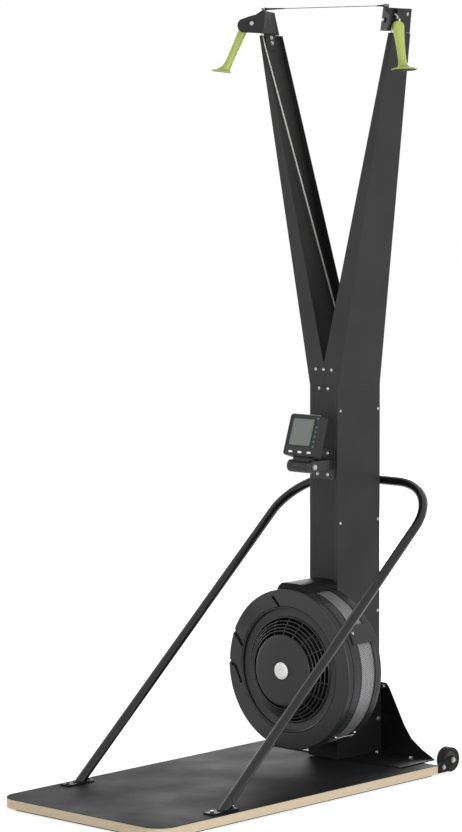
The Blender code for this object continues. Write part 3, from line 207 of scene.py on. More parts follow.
def skin(points, wrap_rows=False, wrap_columns=False, caps=False):
    """Faces over a grid of points: face (r, c) joins points (r, c), (r, c+1), (r+1, c+1) and (r+1, c). A
    wrap joins the last to the first, and caps close the first and last row. Where the volume, the sum of
    a·(b×c)/6 over its triangles, is below zero, every face is turned round. Its map is (column, row)."""
    rows, columns = points.shape[:2]
    index = np.arange(rows * columns).reshape(rows, columns)
    row_count = rows if wrap_rows else rows - 1
    column_count = columns if wrap_columns else columns - 1
    r, c = np.meshgrid(np.arange(row_count), np.arange(column_count), indexing="ij")
    r2, c2 = (r + 1) % rows, (c + 1) % columns
    quads = np.stack([index[r, c], index[r, c2], index[r2, c2], index[r2, c]], -1).reshape(-1, 4)
    corners = [np.stack(pair, -1) for pair in ((c, r), (c + 1, r), (c + 1, r + 1), (c, r + 1))]
    maps = np.stack(corners, -2).reshape(-1, 2)
    flat = points.reshape(-1, 3)
    centred = flat - flat.mean(axis=0)
    a, b, d, e = (centred[quads[:, k]] for k in range(4))
    volume = np.einsum("ij,ij->", a, np.cross(b, d)) + np.einsum("ij,ij->", a, np.cross(d, e))
    faces = quads.tolist()
    if caps:
        for ring in (index[0][::-1], index[-1]):
            fan = centred[ring]
            first = np.broadcast_to(fan[0], fan[1:-1].shape)
            volume += np.einsum("ij,ij->", first, np.cross(fan[1:-1], fan[2:]))
            faces.append(ring.tolist())
            maps = np.concatenate([maps, np.zeros((columns, 2))])
    if volume < 0:
        counts = np.cumsum([0] + [len(face) for face in faces])
        faces = [face[::-1] for face in faces]
        order = np.concatenate([np.arange(low, high)[::-1] for low, high in zip(counts[:-1], counts[1:])])
        maps = maps[order]
    return flat, faces, maps


def piece(name, skins, material, body, replaces=(), sharp=35):
    """Joins skins into one object at the origin, with smooth faces apart from edges over the sharp angle."""
    starts = np.cumsum([0] + [len(part[0]) for part in skins])
    points = np.concatenate([part[0] for part in skins])
    faces = [[v + start for v in face] for part, start in zip(skins, starts.tolist()) for face in part[1]]
    mesh = bpy.data.meshes.new(name)
    mesh.from_pydata(points.tolist(), [], faces)
    layer = mesh.uv_layers.new(name="surface")
    layer.data.foreach_set("uv", np.concatenate([part[2] for part in skins]).astype(np.float32).ravel())
    mesh.shade_smooth()
    mesh.set_sharp_from_angle(angle=math.radians(sharp))
    mesh.materials.append(material)
    made = bpy.data.objects.new(name, mesh)
    scene.collection.objects.link(made)
    if body:
        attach(made, body)
    if replaces:
        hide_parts(*replaces)
    return made


def tube(path, radius, sides, aside, pitch=0.008):
    """A circle carried along a path: its two axes are the cross product of the tangent with aside, and of
    the tangent with that. The map's second number counts pitches of length."""
    path = np.asarray(path, float)
    tangent = np.gradient(path, axis=0)
    tangent /= np.linalg.norm(tangent, axis=1, keepdims=True)
    across = np.cross(tangent, np.array(aside, float))
    across /= np.linalg.norm(across, axis=1, keepdims=True)
    along = np.cross(tangent, across)
    turn = np.linspace(0, 2 * np.pi, sides, endpoint=False)
    radius = np.broadcast_to(np.asarray(radius, float), (len(path),))[:, None, None]
    ring = across[:, None] * np.cos(turn)[None, :, None] + along[:, None] * np.sin(turn)[None, :, None]
    flat, faces, maps = skin(path[:, None] + radius * ring, wrap_columns=True, caps=True)
    run = np.concatenate([[0], np.cumsum(np.linalg.norm(np.diff(path, axis=0), axis=1))]) / pitch
    rows = np.clip(maps[:, 1].astype(int), 0, len(run) - 1)
    return flat, faces, np.stack([maps[:, 0] / sides, run[rows]], -1)


def new_group(name, inputs, outputs):
    """A node group with inputs (name, kind, value) and outputs (name, kind), and its first and last node."""
    group = bpy.data.node_groups.new(name, "ShaderNodeTree")
    for label, kind, value in inputs:
        socket = group.interface.new_socket(label, in_out="INPUT", socket_type=kind)
        if value is not None:
            socket.default_value = value
    for label, kind in outputs:
        group.interface.new_socket(label, in_out="OUTPUT", socket_type=kind)
    return group, group.nodes.new("NodeGroupInput"), group.nodes.new("NodeGroupOutput")


def make_grain():
    """Fine grain for the height, a slow mottle, and thin scuffs that lie along the piece."""
    number = "NodeSocketFloat"
    group, start, end = new_group(
        "surface_grain",
        (("Coordinates", "NodeSocketVector", None), ("Grain", number, 800.0), ("Drift", number, 6.0)),
        (("Height", number), ("Mottle", number), ("Scuff", number)),
    )
    place, grain, drift = (start.outputs[label] for label in ("Coordinates", "Grain", "Drift"))
    fine = add_node(group, "TexNoise", {"Vector": place, "Scale": grain, "Detail": 3.0})
    cells = add_node(group, "TexVoronoi", {"Vector": place, "Scale": grain})
    slow = add_node(group, "TexNoise", {"Vector": place, "Scale": drift, "Detail": 4.0})
    drawn = add_node(group, "Mapping", {"Vector": place, "Scale": (14.0, 9.0, 1.0)}).outputs["Vector"]
    lines = add_node(group, "TexNoise", {"Vector": drawn, "Scale": 9.0, "Detail": 5.0})
    mixed = add_node(group, "Mix", {"Factor": 0.45, "A": fine.outputs["Fac"], "B": cells.outputs["Distance"]})
    mottle = spread(group, slow.outputs["Fac"], 0.32, 0.68)
    scuff = spread(group, lines.outputs["Fac"], 0.66, 0.80)
    set_inputs(group, end, {"Height": mixed.outputs["Result"], "Mottle": mottle, "Scuff": scuff})
    return group


GRAIN = make_grain()


def mix_colours(tree, factor, first, second):
    """From the first colour to the second as the factor grows. Colours may be values or sockets."""
    mix = add_node(tree, "Mix", {})
    mix.data_type = "RGBA"
    first, second = ((*colour, 1.0) if isinstance(colour, tuple) else colour for colour in (first, second))
    set_inputs(tree, mix, {"Factor": factor, "A": first, "B": second})
    return mix.outputs["Result"]


def finish(
    name, colour, roughness, metallic=0.0, specular=0.3, grain=800.0, depth=0.2, drift=6.0, tone=0.12,
    scuff=0.1, coat=0.0, stretch=(1, 1, 1), uneven=0.06
):
    """A moulded, painted or plated surface: colour times 1 ± tone by the mottle, paler along scuffs,
    roughness ± uneven, and the grain as a bump."""
    material = bpy.data.materials.new(name)
    material.use_nodes = True
    tree = material.node_tree
    coordinates = add_node(tree, "TexCoord", {}).outputs["Object"]
    place = add_node(tree, "Mapping", {"Vector": coordinates, "Scale": stretch}).outputs["Vector"]
    surface = add_node(tree, "Group", {})
    surface.node_tree = GRAIN
    set_inputs(tree, surface, {"Coordinates": place, "Grain": grain, "Drift": drift})
    mottle = surface.outputs["Mottle"]
    darker = tuple(c * (1 - tone) for c in colour)
    lighter = tuple(min(1.0, c * (1 + tone)) for c in colour)
    pale = tuple(min(1.0, c * 1.5 + 0.02) for c in colour)
    toned = mix_colours(tree, mottle, darker, lighter)
    rubbed = spread(tree, surface.outputs["Scuff"], 0.0, 1.0, 0.0, scuff)
    height = surface.outputs["Height"]
    bump = add_node(tree, "Bump", {"Strength": depth, "Distance": 0.0004, "Height": height})
    look = {
        "Metallic": metallic,
        "Specular IOR Level": specular,
        "Coat Weight": coat,
        "Coat Roughness": 0.15,
        "Base Color": mix_colours(tree, rubbed, toned, pale),
        "Roughness": spread(tree, mottle, 0.0, 1.0, roughness + uneven, roughness - uneven),
        "Normal": bump.outputs["Normal"],
    }
    set_inputs(tree, tree.nodes["Principled BSDF"], look)
    return material


def braided(name, colour, shade):
    """Two sets of strands, waves that cross at 45 degrees either way on the map. The larger of the two at
    each spot is both height and tone: the low parts between strands go to the shade colour, which is
    painted shade in the grooves."""
    material = finish(name, colour, 0.75, specular=0.2, grain=2500, depth=0.3)
    tree = material.node_tree
    layer = add_node(tree, "UVMap", {})
    layer.uv_map = "surface"
    waves = []
    for turn in (math.radians(45), math.radians(-45)):
        laid = {"Vector": layer.outputs["UV"], "Rotation": (0, 0, turn), "Scale": (4.0, 4.0, 1.0)}
        crossed = add_node(tree, "Mapping", laid).outputs["Vector"]
        waves.append(add_node(tree, "TexWave", {"Vector": crossed, "Scale": 0.9}).outputs["Fac"])
    braid = larger(tree, *waves)
    bump = add_node(tree, "Bump", {"Strength": 0.6, "Distance": 0.0006, "Height": braid})
    look = {"Base Color": mix_colours(tree, braid, shade, colour), "Normal": bump.outputs["Normal"]}
    set_inputs(tree, tree.nodes["Principled BSDF"], look)
    return material


# The cord and the tie cord are darker between their strands: painted shade in the grooves.
CORD = braided("braided_cord", (0.86, 0.85, 0.83), (0.48, 0.47, 0.45))
# Each side's name and sign, its guide pulley's middle, and how far its cord runs behind the mast's front.
SIDES = (("right", 1, 0.013, 0.036), ("left", -1, -0.019, 0.125))


def arm_cord_path(side, guide_x, depth):
    """From drum to guide pulley, round it, up the arm, and round the head pulley to the handle's cord."""
    y = FRONT_Y + depth
    climb = head_point(side, AXLE_REACH - HEAD_CORD_RADIUS, 0, PULLEY_OFFSET)
    lean = math.degrees(math.atan2(abs(climb[0] - CORD_X), climb[2] - GUIDE_Z))
    first, last = (180, 180 - lean) if side > 0 else (0, lean)
    turn = np.radians(np.linspace(first, last, 6))
    bend_x, bend_z = guide_x + GUIDE_RADIUS * np.cos(turn), GUIDE_Z + GUIDE_RADIUS * np.sin(turn)
    bend = np.stack([bend_x, np.full(6, y), bend_z], -1)
    turn = np.radians(np.linspace(180, 54, 15))
    over = np.stack([AXLE_REACH + HEAD_CORD_RADIUS * np.cos(turn), HEAD_CORD_RADIUS * np.sin(turn)], -1)
    ends = [(HANDLE_REACH - 0.0052, 0.0112), (HANDLE_REACH - 0.0014, 0.0090)]
    ends.append((HANDLE_REACH, CORD_TOP_Z - HEAD_Z))
    rest = [head_point(side, reach, up, PULLEY_OFFSET) for reach, up in (*over.tolist(), *ends)]
    low = np.linspace((-DRUM_RADIUS, y, FAN_Z), (CORD_X, y, CORD_RISE_Z), 9)
    high = np.linspace(bend[-1], rest[0], 12)[1:-1]
    return np.concatenate([low, bend[1:], high, rest])


for label, side, guide_x, depth in SIDES:
    route = arm_cord_path(side, guide_x, depth)
    strand = tube(route, CORD_RADIUS, 14, HEAD_INWARD * np.array([side, 1, 1]))
    cord = piece(f"pull_cord_{label}", [strand], CORD, "frame", [f"arm_cord_{label}"])
    top = head_point(side, HANDLE_REACH, 0, PULLEY_OFFSET)
    line = np.linspace((top[0], top[1], CORD_TOP_Z), (top[0], top[1], HANDLE_TOP_Z - 0.002), 40)
    strand = tube(line, CORD_RADIUS, 14, (0, 1, 0))
    lead = piece(f"handle_lead_{label}", [strand], CORD, None, [f"handle_cord_{label}"])
    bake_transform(lead)

# Tie cord: a thin grey braid stretched between the two heads. It is threaded through a lug on each head and
# knotted behind it, and a tapered rubber sleeve is pushed over it at each end.
TIE_Y = FRONT_Y - CORNER_AHEAD + 0.0085
TIE_Z = HEAD_TOP_Z + 0.0075
KNOT_X, SLEEVE_X = 0.2264, 0.2185
tie_path = np.linspace((-KNOT_X, TIE_Y, TIE_Z), (KNOT_X, TIE_Y, TIE_Z), 24)
TIE_GREY = braided("tie_cord_braid", (0.34, 0.34, 0.33), (0.16, 0.16, 0.155))
tie_skin = tube(tie_path, 0.00125, 10, (0, 0, 1), pitch=0.004)
tie = piece("tie_line", [tie_skin], TIE_GREY, "frame", ["tie_cord"])
knots = []
turn = np.linspace(0, 2 * np.pi, 60)
for side in (-1, 1):
    knot_x = side * (KNOT_X + 0.0028) + 0.0016 * np.cos(2 * turn)
    knot_y, knot_z = TIE_Y + 0.0024 * np.sin(3 * turn), TIE_Z + 0.0022 * np.cos(3 * turn + 0.4)
    knot_path = np.stack([knot_x, knot_y, knot_z], -1)
    knots.append(tube(knot_path, 0.0011, 8, (0.97, 0.17, 0.13), pitch=0.004))
knot_pair = piece("tie_knots", knots, TIE_GREY, "frame")
SLEEVE = finish("sleeve_rubber", (0.010, 0.010, 0.010), 0.6, specular=0.15, grain=1200, depth=0.3)
sleeves = []
share = np.linspace(0, 1, 14)
for side, long in ((-1, 0.072), (1, 0.026)):
    sleeve_path = np.stack([side * (SLEEVE_X - long * share), np.full(14, TIE_Y), np.full(14, TIE_Z)], -1)
    sleeves.append(tube(sleeve_path, 0.0036 - 0.0020 * share**0.7, 14, (0, 0, 1)))
sleeve_pair = piece("tie_sleeves", sleeves, SLEEVE, "frame")

# Platform: a birch plywood board, its bare edge showing the layers, with a sheet of black grip laminate
# glued on top. Black rubber runners under its front and its two sides raise it off the floor.
WELD = 0.00002  # points closer than this become one


def dress(names, material, edge=0.0006, segments=2):
    """Gives solids from the frame their finish, and softens their edges with a weld and a bevel."""
    for name in names:
        node = bpy.data.objects[name]
        if node.material_slots:
            for slot in node.material_slots:
                slot.material = material
        else:
            node.data.materials.append(material)
        if edge:
            weld = node.modifiers.new("weld", "WELD")
            weld.merge_threshold = WELD
            bevel = node.modifiers.new("soft edges", "BEVEL")
            bevel.width = edge
            bevel.segments = segments
            bevel.limit_method = "ANGLE"
            bevel.angle_limit = math.radians(40)
            bevel.use_clamp_overlap = True


def make_plywood():
    """Layers by height, with the end grain of every second one darker, and fibres along each layer."""
    material = finish("birch_plywood", (0.70, 0.60, 0.45), 0.62, specular=0.25, grain=500, depth=0.25)
    tree = material.node_tree
    place = add_node(tree, "TexCoord", {}).outputs["Object"]
    bands = {"Vector": place, "Scale": 90.0, "Distortion": 0.6, "Detail Scale": 8.0}
    layers = add_node(tree, "TexWave", bands)
    layers.bands_direction = "Z"
    drawn = add_node(tree, "Mapping", {"Vector": place, "Scale": (30.0, 30.0, 900.0)}).outputs["Vector"]
    fibre = add_node(tree, "TexNoise", {"Vector": drawn, "Scale": 1.0, "Detail": 4.0})
    banded = mix_colours(tree, layers.outputs["Fac"], (0.50, 0.40, 0.27), (0.74, 0.64, 0.49))
    streaks = spread(tree, fibre.outputs["Fac"], 0.35, 0.75, 0.0, 0.35)
    grained = mix_colours(tree, streaks, banded, (0.42, 0.32, 0.20))
    set_inputs(tree, tree.nodes["Principled BSDF"], {"Base Color": grained})
    return material


PLYWOOD = make_plywood()
LAMINATE = finish(
    "grip_laminate", (0.0085, 0.0085, 0.0088), 0.66, specular=0.06, grain=420, depth=0.9, tone=0.2
)
RUBBER = finish("black_rubber", (0.018, 0.018, 0.018), 0.8, specular=0.2, grain=900, depth=0.5, tone=0.2)
dress(["platform_board"], PLYWOOD, 0.0015, 3)
dress(["platform_top"], LAMINATE, 0.0004, 1)
# The runners' black also stands in for the thin shadow line under the board's edge: partly painted shade.
dress(["runner_front", "runner_left", "runner_right"], RUBBER, 0.0015, 2)

# Base bracket: folded sheet steel with a black powder coat, bolted down to the board and to the sides of
# the mast. A sleeve of the same sheet wraps the foot of the mast's front, and its black partly stands in
# for the fan's shadow there: painted shade.
BLACK_STEEL = finish(
    "black_powder_coat", (0.0065, 0.006, 0.0062), 0.5, specular=0.10, grain=1400, depth=0.35, tone=0.3
)
ZINC = finish(
    "bright_zinc", (0.46, 0.46, 0.45), 0.30, metallic=1.0, grain=1200, depth=0.1, drift=60.0, tone=0.15,
    uneven=0.1
)
dress(["base_bracket"], BLACK_STEEL, 0.0010, 2)


def axes(origin, z_axis):
    """Origin and three axes: the third along z_axis, the first level or else sideways."""
    z = np.array(z_axis, float) / np.linalg.norm(z_axis)
    x = np.cross(UP, z)
    if np.linalg.norm(x) < 1e-6:
        x = np.cross(BACK, z)
    x = x / np.linalg.norm(x)
    return np.array(origin, float), x, np.cross(z, x), z


def carry(points, place):
    """Own coordinates to the machine's: origin + x·X + y·Y + z·Z."""
    origin, x, y, z = place
    return origin + points[..., :1] * x + points[..., 1:2] * y + points[..., 2:] * z


def raised(line, height):
    """A flat line's points with the height as their third number."""
    return np.column_stack([line, np.full(len(line), height)])


def turned(profile, place, steps=64, ring=False):
    """A (radius, height) profile turned about its place's third axis: (r cos a, r sin a, h). A ring joins
    its last point to its first, and any other profile is closed by a flat face at each end."""
    profile = np.asarray(profile, float)
    turn = np.linspace(0, 2 * np.pi, steps, endpoint=False)
    radius, height = profile[:, :1], np.broadcast_to(profile[:, 1:], (len(profile), steps))
    points = np.stack([radius * np.cos(turn), radius * np.sin(turn), height], -1)
    return skin(carry(points, place), wrap_rows=ring, wrap_columns=True, caps=not ring)


def button_head(place, radius, height):
    """Screw with a domed head, a hexagon socket and a washer under it."""
    x = radius
    dome = [(1.35 * x, 0.0), (1.35 * x, 0.14 * x), (1.0 * x, 0.16 * x), (1.0 * x, 0.3 * height)]
    dome += [(0.9 * x, 0.7 * height), (0.62 * x, height), (0.46 * x, height)]
    outline = turned(dome, place, 20)
    turn = np.arange(6) * np.pi / 3
    socket = np.stack([0.42 * x * np.cos(turn), 0.42 * x * np.sin(turn), np.zeros(6)], -1)
    low, high = socket + [0, 0, 0.4 * height], socket + [0, 0, height * 1.01]
    wall = skin(carry(np.stack([high, low, low * [0.1, 0.1, 1]]), place), wrap_columns=True)
    return [outline, wall]


def hex_head(place, across, height, washer=1.5):
    """Hexagon head on a round washer, with its six corners taken off."""
    turn = np.linspace(0, 2 * np.pi, 24, endpoint=False)
    reach = 0.5 * across / np.cos((turn + np.pi / 6) % (np.pi / 3) - np.pi / 6)
    rim = np.stack([reach * np.cos(turn), reach * np.sin(turn)], -1)
    points = np.stack([raised(rim * k, h * height) for k, h in ((1.0, 0.18), (1.0, 0.85), (0.90, 1.0))])
    edge = 0.5 * across * washer
    disc = [(edge, 0.0), (edge, 0.16 * height), (0.3 * across, 0.18 * height)]
    return [skin(carry(points, place), wrap_columns=True, caps=True), turned(disc, place, 24)]


def sleeve_line(half_width, front, radius, back=0.4016):
    """Along one side of the mast, across its front and back along the other side, with rounded corners."""
    x = half_width
    return smooth_path([(x, back), (x, front), (-x, front), (-x, back)], radius)


# The sleeve's black is partly painted shade: the fan's shadow on the foot of the mast.
sleeve_loop = np.concatenate([sleeve_line(0.0554, 0.3612, 0.004), sleeve_line(0.0530, 0.3624, 0.003)[::-1]])
sleeve_rows = np.stack([raised(sleeve_loop, z) for z in (0.0366, 0.0372, 0.1380, 0.1386)])
piece("foot_sleeve_and_shade", [skin(sleeve_rows, wrap_columns=True, caps=True)], BLACK_STEEL, "frame")
base_bolts = []
for side in (-1, 1):
    for x in (0.066, 0.190):
        base_bolts += hex_head(axes((side * x, 0.520, 0.0351), UP), 0.010, 0.005)
    base_bolts += hex_head(axes((side * 0.0556, 0.538, 0.128), (side, 0, 0)), 0.009, 0.004)
    base_bolts += hex_head(axes((side * 0.066, 0.5481, 0.2215), -BACK), 0.009, 0.004)
    base_bolts += hex_head(axes((side * 0.150, 0.5516, 0.060), BACK), 0.010, 0.005)
piece("base_bolts", base_bolts, ZINC, "frame")

# Mast: two folded aluminium shells with a charcoal powder coat, which part into the arms, closed by a front
# and a rear cover. Domed screws hold the covers and the side panels.
CHARCOAL = finish(
    "charcoal_powder_coat", (0.032, 0.0308, 0.0308), 0.5, specular=0.13, grain=1600, depth=0.3, tone=0.05,
    scuff=0.06
)
COVER = finish(
    "charcoal_cover", (0.029, 0.0278, 0.0282), 0.52, specular=0.13, grain=1600, depth=0.3, tone=0.05
)
dress(["mast_shell_left", "mast_shell_right"], CHARCOAL, 0)
dress(["front_cover", "rear_cover"], COVER, 0.0005, 2)
dress(["yoke_plate"], BLACK_STEEL, 0.0006, 2)
MAST_DEPTH = 0.185
SIDE_SPOTS = [(0.0127, z) for z in (1.0155, 0.700, 0.385)] + [(0.175, z) for z in (1.012, 0.698, 0.437)]
FORK_SCREW_Z = 1.130
mast_screws = []
for side in (-1, 1):
    for depth, z in SIDE_SPOTS:
        mast_screws += button_head(axes((side * MAST_HALF, FRONT_Y + depth, z), (side, 0, 0)), 0.0032, 0.0018)
    for z in (0.27, 0.52, 0.77, 1.02):
        mast_screws += button_head(axes((side * 0.0300, FRONT_Y + MAST_DEPTH, z), BACK), 0.0034, 0.0020)
    for x, z in ((0.029, FORK_SCREW_Z), (0.016, 1.077)):
        mast_screws += button_head(axes((side * x, FRONT_Y, z), -BACK), 0.0033, 0.0022)
mast_screws += button_head(axes((0.0, FRONT_Y, FORK_SCREW_Z), -BACK), 0.0033, 0.0022)
piece("mast_screws", mast_screws, ZINC, "frame")

# Heads: a folded plate at the top of each arm, coated like the mast and screwed to the arm's outer face. It
# carries a grooved nylon pulley, which turns on a bolt through the cheek.
NYLON = finish("black_nylon", (0.030, 0.030, 0.031), 0.45, specular=0.3, grain=600, depth=0.15)
dress(["head_bracket_left", "head_bracket_right"], CHARCOAL, 0.0006, 2)


def two_faced(half):
    """A closed outline whose second half is the first one's mirror image, with the heights below zero."""
    return half + [(radius, -height) for radius, height in half[::-1]]


HALF_SHEAVE = [
    (0.0043, 0.0050), (0.0072, 0.0050), (0.0080, 0.0038), (0.0112, 0.0038), (0.0120, 0.0050),
    (0.0168, 0.0050), (0.0169, 0.0040), (0.0149, 0.0030), (0.0134, 0.0014),
]
LUG_Z = 2.120
head_bolts = []
for label, side, *_ in SIDES:
    outward = HEAD_INWARD * np.array([side, 1, 1])
    middle = head_point(side, AXLE_REACH, 0, PULLEY_OFFSET)
    wheel = turned(soft_loop(two_faced(HALF_SHEAVE), 0.0004, 3), axes(middle, outward), 56, ring=True)
    body = f"head_pulley_{label}"
    piece(f"head_sheave_{label}", [wheel], NYLON, body, [body])
    for offset, way in ((-0.0047, -outward), (PULLEY_OFFSET + 0.0089, outward)):
        head_bolts += hex_head(axes(head_point(side, AXLE_REACH, 0, offset), way), 0.0092, 0.0042, 1.3)
    out = np.array((side, 0, -ARM_SPREAD))
    for depth, z in ((0.045, 2.062), (0.045, 2.047)):
        face = arm_outer(z)
        head_bolts += button_head(axes((side * face, FRONT_Y + depth, z), out), 0.0040, 0.0028)
        inner = arm_outer(z) - 0.0025 - GAP - 0.003
        head_bolts += hex_head(axes((side * inner, FRONT_Y + depth, z), -out), 0.0080, 0.0036)
    inner = arm_outer(LUG_Z) - 0.0028
    head_bolts += button_head(axes((side * inner, FRONT_Y + 0.060, LUG_Z), out), 0.0038, 0.0026)
piece("head_bolts", head_bolts, ZINC, "frame")

# Handles: moulded yellow-green grips, round at the top, that flare into a nearly level rest for the heel of
# the hand. A dark layer over the rest's underside is painted shade, and a rubber ball at the top stops the
# cord's end.
HANDLE_GREEN = finish(
    "handle_plastic", (0.40, 0.475, 0.115), 0.42, specular=0.35, grain=1100, depth=0.12, tone=0.05, scuff=0.15
)
# This dark finish is the stop ball's rubber and, on the rest's underside, painted shade.
HANDLE_RUBBER_AND_SHADE = finish("ball_rubber_and_underside_shade", (0.03, 0.032, 0.02), 0.7, specular=0.2, grain=900, depth=0.4)
HANDLE_LEAN = math.radians(24)
# Rows of drop from the top, half depth, half width, forward offset and tilt in degrees.
HANDLE_RINGS = np.array(
    [
        (0.0000, 0.0035, 0.0050, 0.0000, 0),
        (0.0022, 0.0068, 0.0095, 0.0000, 0),
        (0.0070, 0.0112, 0.0146, 0.0000, 0),
        (0.0150, 0.0125, 0.0168, 0.0000, 0),
        (0.0300, 0.0122, 0.0158, 0.0000, 0),
        (0.0450, 0.0118, 0.0142, 0.0000, 0),
        (0.0780, 0.0110, 0.0120, 0.0000, 0),
        (0.1090, 0.0108, 0.0112, 0.0000, 0),
        (0.1240, 0.0116, 0.0120, 0.0005, 2),
        (0.1350, 0.0140, 0.0148, 0.0022, 6),
        (0.1415, 0.0186, 0.0208, 0.0055, 11),
        (0.1457, 0.0262, 0.0320, 0.0088, 16),
        (0.1474, 0.0288, 0.0353, 0.0090, 17),
        (0.1490, 0.0290, 0.0355, 0.0090, 17),
        (0.1499, 0.0282, 0.0347, 0.0090, 17),
    ]
)
UNDERSIDE_SHADE_RINGS = np.array(
    [
        (0.1495, 0.0262, 0.0327, 0.0090, 17),
        (0.1503, 0.0262, 0.0327, 0.0090, 17),
        (0.1509, 0.0248, 0.0312, 0.0090, 17),
    ]
)
STOP_BALL = soft_loop(
    [(0.0025, -0.0030), (0.0040, -0.0028), (0.0047, 0.0), (0.0040, 0.0028), (0.0025, 0.0030)], 0.001, 4
)


def handle_skin(rings, fine=5):
    """Ring points (f + d cos a cos t, w sin a, -s - d cos a sin t) for drop s, half depth d, half width w,
    forward offset f and tilt t, each read from the rows by a cubic through neighbouring rows."""
    at = np.linspace(0, len(rings) - 1, (len(rings) - 1) * fine + 1)
    low = np.clip(np.floor(at).astype(int), 0, len(rings) - 2)
    t = (at - low)[:, None]
    padded = np.concatenate([rings[:1], rings, rings[-1:]])
    p0, p1, p2, p3 = (padded[low + k] for k in range(4))
    m1, m2 = 0.5 * (p2 - p0), 0.5 * (p3 - p1)
    curve = (2 * t**3 - 3 * t**2 + 1) * p1 + (t**3 - 2 * t**2 + t) * m1
    curve += (3 * t**2 - 2 * t**3) * p2 + (t**3 - t**2) * m2
    drop, deep, wide, ahead, tilt = (curve[:, k, None] for k in range(5))
    tilt = np.radians(tilt)
    turn = np.linspace(0, 2 * np.pi, 48, endpoint=False)[None]
    out = deep * np.cos(turn)
    return np.stack([ahead + out * np.cos(tilt), wide * np.sin(turn), -drop - out * np.sin(tilt)], -1)


for label, side, *_ in SIDES:
    body = f"handle_{label}"
    reach = HEAD_REACH * np.array([side, 1, 1])
    forward = reach * math.cos(HANDLE_LEAN) + UP * math.sin(HANDLE_LEAN)
    upward = UP * math.cos(HANDLE_LEAN) - reach * math.sin(HANDLE_LEAN)
    top = head_point(side, HANDLE_REACH, HANDLE_TOP_Z - HEAD_Z, PULLEY_OFFSET)
    place = (top, forward, np.cross(UP, reach), upward)
    grip = skin(carry(handle_skin(HANDLE_RINGS), place), wrap_columns=True, caps=True)
    piece(f"grip_{label}", [grip], HANDLE_GREEN, body, [body], 60)
    # A thin dark layer under the rest: painted shade.
    underside_shade = skin(carry(handle_skin(UNDERSIDE_SHADE_RINGS, 2), place), wrap_columns=True, caps=True)
    piece(f"grip_underside_shade_{label}", [underside_shade], HANDLE_RUBBER_AND_SHADE, body)
    stop = turned(STOP_BALL, (top + 0.0036 * UP, RIGHT, BACK, UP), 28, ring=True)
    piece(f"stop_ball_{label}", [stop], HANDLE_RUBBER_AND_SHADE, body)

# Guide pulleys and drums, inside the mast: moulded nylon wheels that lead and wind the cords. The drums
# turn on the fan's steel shaft, which runs in two black bearings in the mast.
dress(["guide_pulley_left", "guide_pulley_right", "cord_drum_left", "cord_drum_right"], NYLON, 0.0004, 2)
dress(["fan_shaft", "hinge_bolt"], ZINC, 0.0005, 2)
dress(["bearing_front", "bearing_rear"], BLACK_STEEL, 0.0005, 2)

# Fan: a moulded wheel on the shaft, behind the front moulding's wire guard. A backing disc with a hub in
# front of it carries many thin blades, swept back a little.
FAN_PLACE = (np.array((0.0, FRONT_Y, FAN_Z)), RIGHT, UP, -BACK)
FAN_PLASTIC = finish("fan_plastic", (0.035, 0.035, 0.036), 0.5, specular=0.25, grain=700, depth=0.2, tone=0.2)


def fan_point(radius, angle, height):
    """A point at that radius and angle, counted up from the machine's right, and height in front of the
    mast."""
    return carry(np.array((radius * math.cos(angle), radius * math.sin(angle), height)), FAN_PLACE)


def fan_out(angle):
    """The way straight out from the fan's axis at that angle."""
    return np.array((math.cos(angle), 0, math.sin(angle)))


def fan_ring(corners, radius, fine, steps):
    """A closed (radius, height) outline with rounded corners, turned about the fan's axis."""
    return turned(soft_loop(corners, radius, fine), FAN_PLACE, steps, ring=True)


fan_disc = [(0.0103, 0.090), (0.030, 0.090), (0.034, 0.034), (0.062, 0.022), (0.195, 0.021), (0.195, 0.018)]
fan_skins = [fan_ring([*fan_disc, (0.0103, 0.018)], 0.0015, 3, 72)]
BLADE_COUNT, BLADE_HALF, BLADE_SWEEP, DISC_FACE = 45, 0.0007, 0.20, 0.0205
share = np.linspace(0, 1, 7)[:, None]
blade_radius = 0.100 + 0.093 * share
blade_top = 0.088 + 0.006 * np.sin(np.pi * share)
blade_side = np.array([[-1, 1, 1, -1]]) * BLADE_HALF / blade_radius
blade_height = DISC_FACE + (blade_top - DISC_FACE) * np.array([[0, 0, 1, 1]])
for number in range(BLADE_COUNT):
    spin = 2 * np.pi * number / BLADE_COUNT + BLADE_SWEEP * share**1.5 + blade_side
    blade = np.stack([blade_radius * np.cos(spin), blade_radius * np.sin(spin), blade_height], -1)
    fan_skins.append(skin(carry(blade, FAN_PLACE), wrap_columns=True, caps=True))
piece("fan_blades", fan_skins, FAN_PLASTIC, "fan", ["fan_wheel"])

# Cage: a moulded rear pan, a perforated silver band and a front moulding with its guard wires. A strap at
# the top, a clip at the right and a wire latch at the bottom right hold them together.
DARK_PLASTIC = finish(
    "cage_plastic", (0.024, 0.024, 0.0246), 0.26, specular=0.32, grain=900, depth=0.45, tone=0.06, scuff=0.08
)
REAR_PAN = [
    (0.2225, 0.0350), (0.2225, 0.0290), (0.2212, 0.0280), (0.2212, 0.0260), (0.2225, 0.0250),
    (0.2225, 0.0110), (0.2165, 0.0050), (0.0500, 0.0050), (0.0470, 0.0064), (0.0120, 0.0064),
    (0.0120, 0.0088), (0.2130, 0.0088), (0.2195, 0.0145), (0.2195, 0.0350),
]
piece("rear_pan", [fan_ring(REAR_PAN, 0.0010, 3, 144)], DARK_PLASTIC, "frame", ["cage_rear"])

BAND_RADIUS, BAND_LOW, BAND_HIGH = 0.2192, 0.0353, 0.0900
SILVER = finish(
    "silver_sheet", (0.30, 0.30, 0.305), 0.38, metallic=0.75, grain=900, depth=0.08, drift=14.0, tone=0.06,
    stretch=(1, 6, 1)
)


